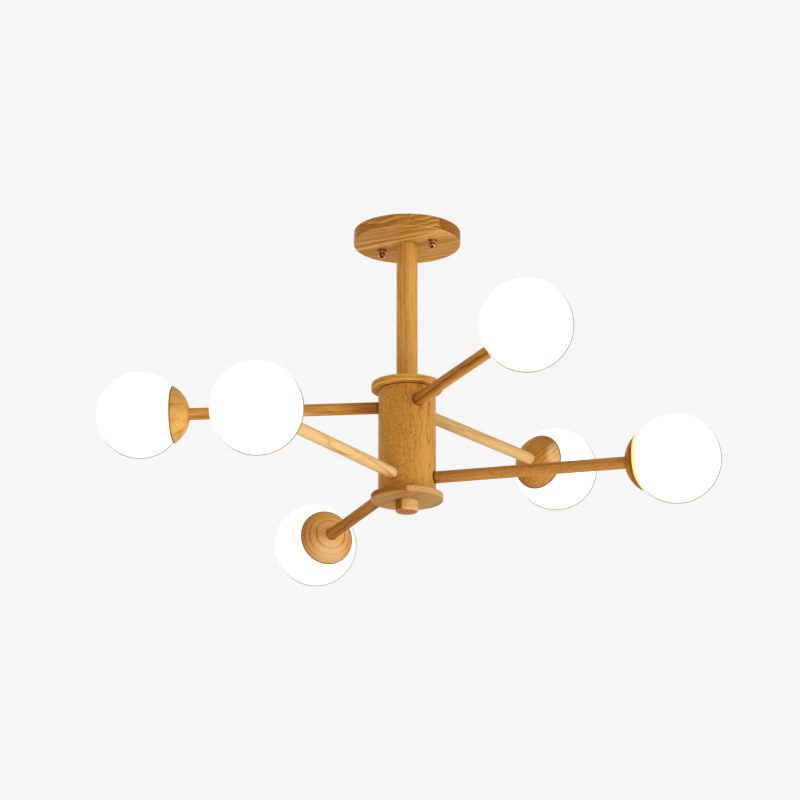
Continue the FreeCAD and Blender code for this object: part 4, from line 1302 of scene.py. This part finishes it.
@dataclass(frozen=True)
class Arm:
    """One arm with its cup, lamp holder, lamp and globe."""

    number: int
    azimuth: float
    depth: float
    grain: Grain
    radius: float = 8.25
    bore: float = 5.25
    start: float = 34.5
    end: float = 305.5
    ease: float = 0.5
    root: float = 39.0
    root_shadow_seam: float = 2.6
    root_fade: float = 75.0
    root_tint: Colour = (0.20, 0.045, 0.005)
    socket: float = 8.35
    cup_pole: float = 302.0
    cup_floor: float = 308.9
    cup_rim: float = 324.79
    cup_radius: float = 40.0
    cup_lip: float = 38.2
    cup_dome: float = 46.5
    # The root ease is negative: a seam painted with shadow where the arm enters the cup.
    cup_eases: tuple[float, float, float] = (-0.5, 0.55, 0.3)
    rim_shadow_seam: float = 2.4
    rim_leak: float = 8.2
    pocket: float = 21.3
    globe: float = 60.0
    globe_inner: float = 57.5
    globe_seat: float = 60.5
    globe_centre: float = 371.705
    neck: float = 21.0
    neck_bore: float = 18.0
    neck_end: float = 310.0
    neck_ease: float = 0.8
    lamp_start: float = 331.1
    lamp_base: float = 7.0
    lamp_base_length: float = 9.0
    lamp_flare: float = 2.0
    lamp_eases: tuple[float, float, float] = (0.4, 0.3, 0.8)
    lamp_radius: float = 9.0
    lamp_tip: float = 381.1
    groove_start: float = 3.2
    groove_end: float = 5.0
    groove_depth: float = 0.5
    groove_ease: float = 0.2
    pin: float = 0.9
    pin_round: float = 0.5
    pin_pitch: float = 9.0
    pin_length: float = 11.0

    @property
    def place(self) -> Place:
        """Give the axes that lie along the arm's line."""
        return Place(self.azimuth, self.depth, True)

    @property
    def pale(self) -> bool:
        """Tell whether the arm is cut from pale wood."""
        return self.grain.arm.tone is Tone.PALE

    def outward(self, reach: float, drop: float = 0.0) -> Point:
        """Give a vector along the arm's line, with a drop below the ceiling."""
        turn = math.radians(self.azimuth)
        return (reach * math.cos(turn), reach * math.sin(turn), -drop)

    def rim_band(self) -> RimBand:
        """Give the cup's rim band: a wide painted glow where light leaks, else a thin painted shadow seam."""
        lit = self.grain.lit_rim
        return RimBand(self.outward(self.cup_rim, self.depth), self.outward(1.0),
                       self.rim_leak if lit else self.rim_shadow_seam, lit)

    def root_band(self) -> RimBand | None:
        """Give the painted shadow seam and shade where a dark arm enters the drum; pale arms show none."""
        return None if self.pale else RimBand(
            self.outward(self.root, self.depth), self.outward(-1.0), self.root_shadow_seam, fade=self.root_fade,
            fade_share=self.grain.root_shade, shade=self.root_tint)

    def cut(self, wood: Timber, name: str, reach: float, rim: RimBand | None) -> Timber:
        """Lay a wood's pattern along this arm, from a reach on its line, with the band that it shows."""
        centre, turn = self.outward(reach, self.depth), (*wood.turn[:2], wood.turn[2] + self.azimuth)
        return replace(wood, name=name, centre=centre, turn=turn, rim=rim)

    def dowel(self) -> Surface:
        """Turn the arm's dowel with its pipe bore."""
        return turned([(self.bore, self.start, 0), (self.radius, self.start, self.ease),
                       (self.radius, self.end, self.ease), (self.bore, self.end, 0)], self.place, 64)

    def cup(self) -> Surface:
        """Turn the cup: a dome outside, the globe's seat and the neck's pocket inside.

        Returns:
            The cup's skin.
        """
        dome = arc(self.cup_pole + self.cup_dome, self.cup_dome, slant(self.socket, self.cup_dome),
                   slant(self.cup_radius, self.cup_dome), 40)
        seat = arc(self.globe_centre, self.globe_seat, slant(self.cup_lip, self.globe_seat),
                   slant(self.pocket, self.globe_seat), 16)
        root, edge, lip = self.cup_eases
        return turned([
            (*dome[0][:2], root), *dome[1:-1], (*dome[-1][:2], edge), (*seat[0][:2], lip), *seat[1:],
            (self.pocket, self.cup_floor, 0), (self.bore, self.cup_floor, 0), (self.bore, self.end, 0),
            (self.socket, self.end, 0),
        ], self.place, 112)

    def globe_skin(self) -> Surface:
        """Blow the globe: an outer and an inner sphere that meet in an eased neck rim.

        Returns:
            The globe's skin, closed through its neck.
        """
        outer, inner = slant(self.neck, self.globe), slant(self.neck_bore, self.globe_inner)
        return turned([
            *arc(self.globe_centre, self.globe, 180.0, outer, 72),
            (self.neck, self.neck_end, self.neck_ease), (self.neck_bore, self.neck_end, self.neck_ease),
            *arc(self.globe_centre, self.globe_inner, inner, 180.0, 48),
        ], self.place, 112)

    def lamp_dome(self) -> Surface:
        """Turn the lamp's frosted envelope, with a round end and a flared shoulder.

        Returns:
            The envelope's skin.
        """
        shoulder = self.lamp_start + self.lamp_base_length
        _, shadow_seam, round_over = self.lamp_eases
        return turned([
            (0.0, shoulder, 0), (self.lamp_base, shoulder, shadow_seam),
            (self.lamp_radius, shoulder + self.lamp_flare, round_over),
            *arc(self.lamp_tip - self.lamp_radius, self.lamp_radius, 90.0, 180.0, 18),
        ], self.place, 48)

    def lamp_foot(self) -> Surface:
        """Turn the lamp's foot with a grip groove.

        Returns:
            The foot's skin.
        """
        end, depth, ease = self.lamp_start + self.lamp_base_length, self.groove_depth, self.groove_ease
        low, high = self.lamp_start + self.groove_start, self.lamp_start + self.groove_end
        return turned([
            (0.0, self.lamp_start, 0), (self.lamp_base, self.lamp_start, self.lamp_eases[0]),
            (self.lamp_base, low, ease), (self.lamp_base - depth, low + depth, ease),
            (self.lamp_base - depth, high - depth, ease),
            (self.lamp_base, high, ease), (self.lamp_base, end, 0), (0.0, end, 0),
        ], self.place, 48)

    def lamp_pins(self) -> Surface:
        """Turn the two round-ended contact pins.

        Returns:
            Both pins' skins.
        """
        low = self.lamp_start - self.pin_length
        pin = turned([(0.0, low, 0), (self.pin, low, self.pin_round), (self.pin, self.lamp_start, 0),
                      (0.0, self.lamp_start, 0)], sides=20)
        return gathered([pin.placed(self.place, (0.0, side * self.pin_pitch, 0.0)) for side in (0.5, -0.5)])

    def build(self) -> None:
        """Build the arm's pieces on their bodies."""
        number, grain = self.number, self.grain
        arm, cup, globe, lamp = (f"{kind}_{number}" for kind in ("arm", "cup", "globe", "bulb"))
        arm_wood = self.cut(grain.arm, f"{arm}_wood", (self.start + self.end) / 2, self.root_band())
        cup_wood = self.cut(grain.cup, f"{cup}_wood", self.cup_pole, self.rim_band())
        add_piece(f"{arm}_dowel", self.dowel(), arm_wood, [arm])
        add_piece(f"{cup}_turned", self.cup(), cup_wood, [cup])
        add_piece(f"{globe}_opal", self.globe_skin(), OPAL, [globe], globe)
        add_piece(f"{lamp}_dome", self.lamp_dome(), FROSTED, [lamp], lamp)
        add_piece(f"{lamp}_foot", self.lamp_foot(), CERAMIC, body=lamp)
        add_piece(f"{lamp}_pins", self.lamp_pins(), ZINC, body=lamp)
        dress(CERAMIC, f"holder_{number}")


def grey(level: float) -> tuple[float, float, float, float]:
    """Give a plain grey as a socket's colour."""
    return (level, level, level, 1.0)


@dataclass(frozen=True)
class StudioLamp:
    """A soft square studio lamp, by its place, size and power, aimed at the hub."""

    name: str
    spot: Point
    side: float
    power: float
    colour: Colour = (1.0, 1.0, 1.0)


@dataclass(frozen=True)
class Studio:
    """Pale floor, soft lamps, backdrop and camera, in metres but for the lens and its sensor."""

    aim: Point = (0.0, 0.0, -0.25)
    floor_depth: float = 5.4
    floor_side: float = 60.0
    floor_rows: int = 9
    floor_paper: float = 0.86
    floor_shown: float = 0.9
    backdrop: float = 0.922
    ambient: float = 0.78
    ambient_tint: Colour = (1.0, 0.90, 0.70)
    eye: Point = (0.4022, -3.8011, -1.4766)
    heading: float = 6.184
    pitch: float = 17.85
    roll: float = 0.06
    lens: float = 131.65
    sensor: float = 36.0
    farthest: float = 200.0
    lamps: tuple[StudioLamp, ...] = (
        StudioLamp("key_lamp", (3.9, -1.2, -1.0), 1.8, 96.0, (0.97, 1.0, 1.02)),
        StudioLamp("under_lamp", (0.5, -1.7, -3.1), 2.0, 53.0),
        StudioLamp("fill_lamp", (-3.4, -2.4, -1.4), 2.4, 5.0),
        StudioLamp("back_lamp", (-1.4, 3.4, 1.6), 2.2, 26.0),
    )

    def light_world(self) -> None:
        """Light the room evenly and show the backdrop's colour behind the light."""
        world = bpy.data.worlds.new("studio")
        bpy.context.scene.world = world
        bench = Bench(world)
        even = bench.node("ShaderNodeBackground", {},
                          {"Color": (*self.ambient_tint, 1.0), "Strength": self.ambient})
        shown = bench.node("ShaderNodeBackground", {}, {"Color": grey(self.backdrop), "Strength": 1.0})
        mixed = bench.node("ShaderNodeMixShader", {}, {0: bench.seen_directly(), 1: even, 2: shown})
        bench.node("ShaderNodeOutputWorld", {}, {"Surface": mixed})

    def lay_floor(self) -> None:
        """Lay a pale floor, a flat grid far enough down to leave the view from below open."""
        stations = np.linspace(-self.floor_side / 2, self.floor_side / 2, self.floor_rows)
        x, y = np.meshgrid(stations, stations)
        points = np.stack([x, y, np.full_like(x, -self.floor_depth)], axis=-1).reshape(-1, 3)
        quads = grid_quads(self.floor_rows, self.floor_rows, False, False).reshape(-1, 4)
        mesh = bpy.data.meshes.new("floor")
        mesh.from_pydata(points.tolist(), [], quads.tolist())
        paper = bpy.data.materials.new("floor_paper")
        bench = Bench(paper)
        matt = bench.node("ShaderNodeBsdfDiffuse", {}, {"Color": grey(self.floor_paper)})
        bright = bench.node("ShaderNodeEmission", {}, {"Color": grey(self.backdrop), "Strength": 1.0})
        share = bench.seen_directly() * self.floor_shown
        mixed = bench.node("ShaderNodeMixShader", {}, {0: share, 1: matt, 2: bright})
        bench.node("ShaderNodeOutputMaterial", {}, {"Surface": mixed})
        mesh.materials.append(paper)
        floor = show("floor", mesh)

    def hang_lamps(self) -> None:
        """Hang the soft lamps and aim them at the hub."""
        for lamp in self.lamps:
            light = bpy.data.lights.new(lamp.name, "AREA")
            light.shape, light.size = "SQUARE", lamp.side
            light.energy, light.color = lamp.power, lamp.colour
            holder = show(lamp.name, light)
            holder.location = lamp.spot
            holder.visible_camera = False
            holder.rotation_mode = "QUATERNION"
            holder.rotation_quaternion = (Vector(self.aim) - Vector(lamp.spot)).to_track_quat("-Z", "Y")

    def place_camera(self) -> None:
        """Set the camera at the eye, by its heading from +Y towards -X, its pitch and its roll."""
        view = bpy.data.cameras.new("camera")
        view.lens, view.sensor_width, view.clip_end = self.lens, self.sensor, self.farthest
        camera = show("camera", view)
        turn = (Matrix.Rotation(math.radians(self.heading), 4, "Z")
                @ Matrix.Rotation(math.radians(90.0 + self.pitch), 4, "X")
                @ Matrix.Rotation(math.radians(self.roll), 4, "Z"))
        camera.matrix_world = Matrix.Translation(self.eye) @ turn
        bpy.context.scene.camera = camera

    def build(self) -> None:
        """Set up the whole studio."""
        bpy.context.scene.view_settings.view_transform = "Standard"
        self.light_world()
        self.lay_floor()
        self.hang_lamps()
        self.place_camera()


UPPER_TIER = 256.0
LOWER_TIER = 359.5
AZIMUTHS = (60.0, 117.2, 180.0, 245.5, 300.0, 350.5)
DEPTHS = (UPPER_TIER, LOWER_TIER) * 3

ARM_WOOD = Timber("arm_wood", Tone.BROWN, ORIGIN, ORIGIN, (0.0, 0.0), ring=4.0, contrast=0.5, streaks=0.9,
                  mottle=0.03, cloudy=0.9, pores=0.4, fleck_side=(0.0, -0.95, -0.31), coat=0.02)
PALE_ARM = replace(ARM_WOOD, tone=Tone.PALE, ring=9.0, taper=12.0, streaks=0.7, pores=0.2)
CUP_WOOD = replace(ARM_WOOD, tone=Tone.HONEY, contrast=0.8, taper=5.0, streaks=0.8, pores=0.2, wander=0.6)
GRAINS = (
    Grain(replace(PALE_ARM, turn=(0.0, 0.0, 4.0), heart=(20.0, 34.0), contrast=0.8, base=0.30),
          replace(CUP_WOOD, turn=(0.0, 40.0, 90.0), heart=(20.0, 120.0), ring=6.0, contrast=0.7, base=0.40,
                  wander=1.4, sapwood_and_highlight=SapwoodAndHighlight((0.56, -0.83, 0.06), 0.81, 0.92, 0.9, (0.76, 0.49, 0.21)))),
    Grain(replace(ARM_WOOD, turn=(0.0, 0.0, -1.5), heart=(-30.0, 12.0), base=0.50, streaks=1.3),
          # cup 2's pale lower side is a painted sheen from light below.
          replace(CUP_WOOD, tone=Tone.ROSE, turn=(0.0, 0.0, 90.0), heart=(210.9, 3.0), ring=6.0, contrast=1.7,
                  taper=8.0, base=0.03, wander=0.25, sapwood_and_highlight=SapwoodAndHighlight((0.36, -0.71, -0.60), 0.78, 0.98))),
    Grain(replace(ARM_WOOD, tone=Tone.HONEY, turn=(0.0, 0.0, 1.5), heart=(8.0, -30.0), contrast=1.2,
                  taper=4.0, base=0.24, streaks=1.8),
          # cup 3's pale lower edge is a painted highlight.
          replace(CUP_WOOD, tone=Tone.GOLD, turn=(0.0, 30.0, 0.0), heart=(10.0, 120.0), ring=14.0,
                  sapwood_and_highlight=SapwoodAndHighlight((0.50, -0.10, -0.86), 0.92, 0.99)), 0.62),
    Grain(replace(PALE_ARM, turn=(0.0, 0.0, -7.0), heart=(-24.0, 26.0), contrast=2.0, base=0.12),
          replace(CUP_WOOD, turn=(0.0, 20.0, 90.0), heart=(40.0, -20.0), ring=8.0)),
    # arm 5's paler underside is painted light from below.
    Grain(replace(ARM_WOOD, turn=(0.0, 0.0, 2.0), heart=(0.0, 30.5), ring=12.0, contrast=1.3, taper=4.5,
                  base=0.08, streaks=1.6, wander=0.7,
                  sapwood_and_highlight=SapwoodAndHighlight((0.0, 0.0, -1.0), 0.80, 0.98, 0.6, (0.56, 0.32, 0.09))),
          replace(CUP_WOOD, turn=(0.0, -20.0, 90.0), heart=(36.0, 30.0), ring=9.0), 0.35),
    Grain(replace(ARM_WOOD, tone=Tone.NUT, turn=(0.0, 0.0, -1.0), heart=(18.0, -22.0), base=0.0, streaks=0.55,
                  fleck=0.65),
          replace(CUP_WOOD, tone=Tone.RUSSET, turn=(0.0, 15.0, 90.0), heart=(38.0, -26.0), ring=8.0),
          0.28, lit_rim=True),
)


def main() -> None:
    """Build the light from the ceiling down, then its studio."""
    logging.basicConfig(level=logging.INFO, format="%(message)s")
    Canopy().build()
    Stem().build()
    Hub(AZIMUTHS, DEPTHS).build()
    ArmSet(AZIMUTHS, DEPTHS).build()
    for number, (azimuth, depth, grain) in enumerate(zip(AZIMUTHS, DEPTHS, GRAINS), start=1):
        Arm(number, azimuth, depth, grain).build()
    Studio().build()


if __name__ == "__main__":
    main()
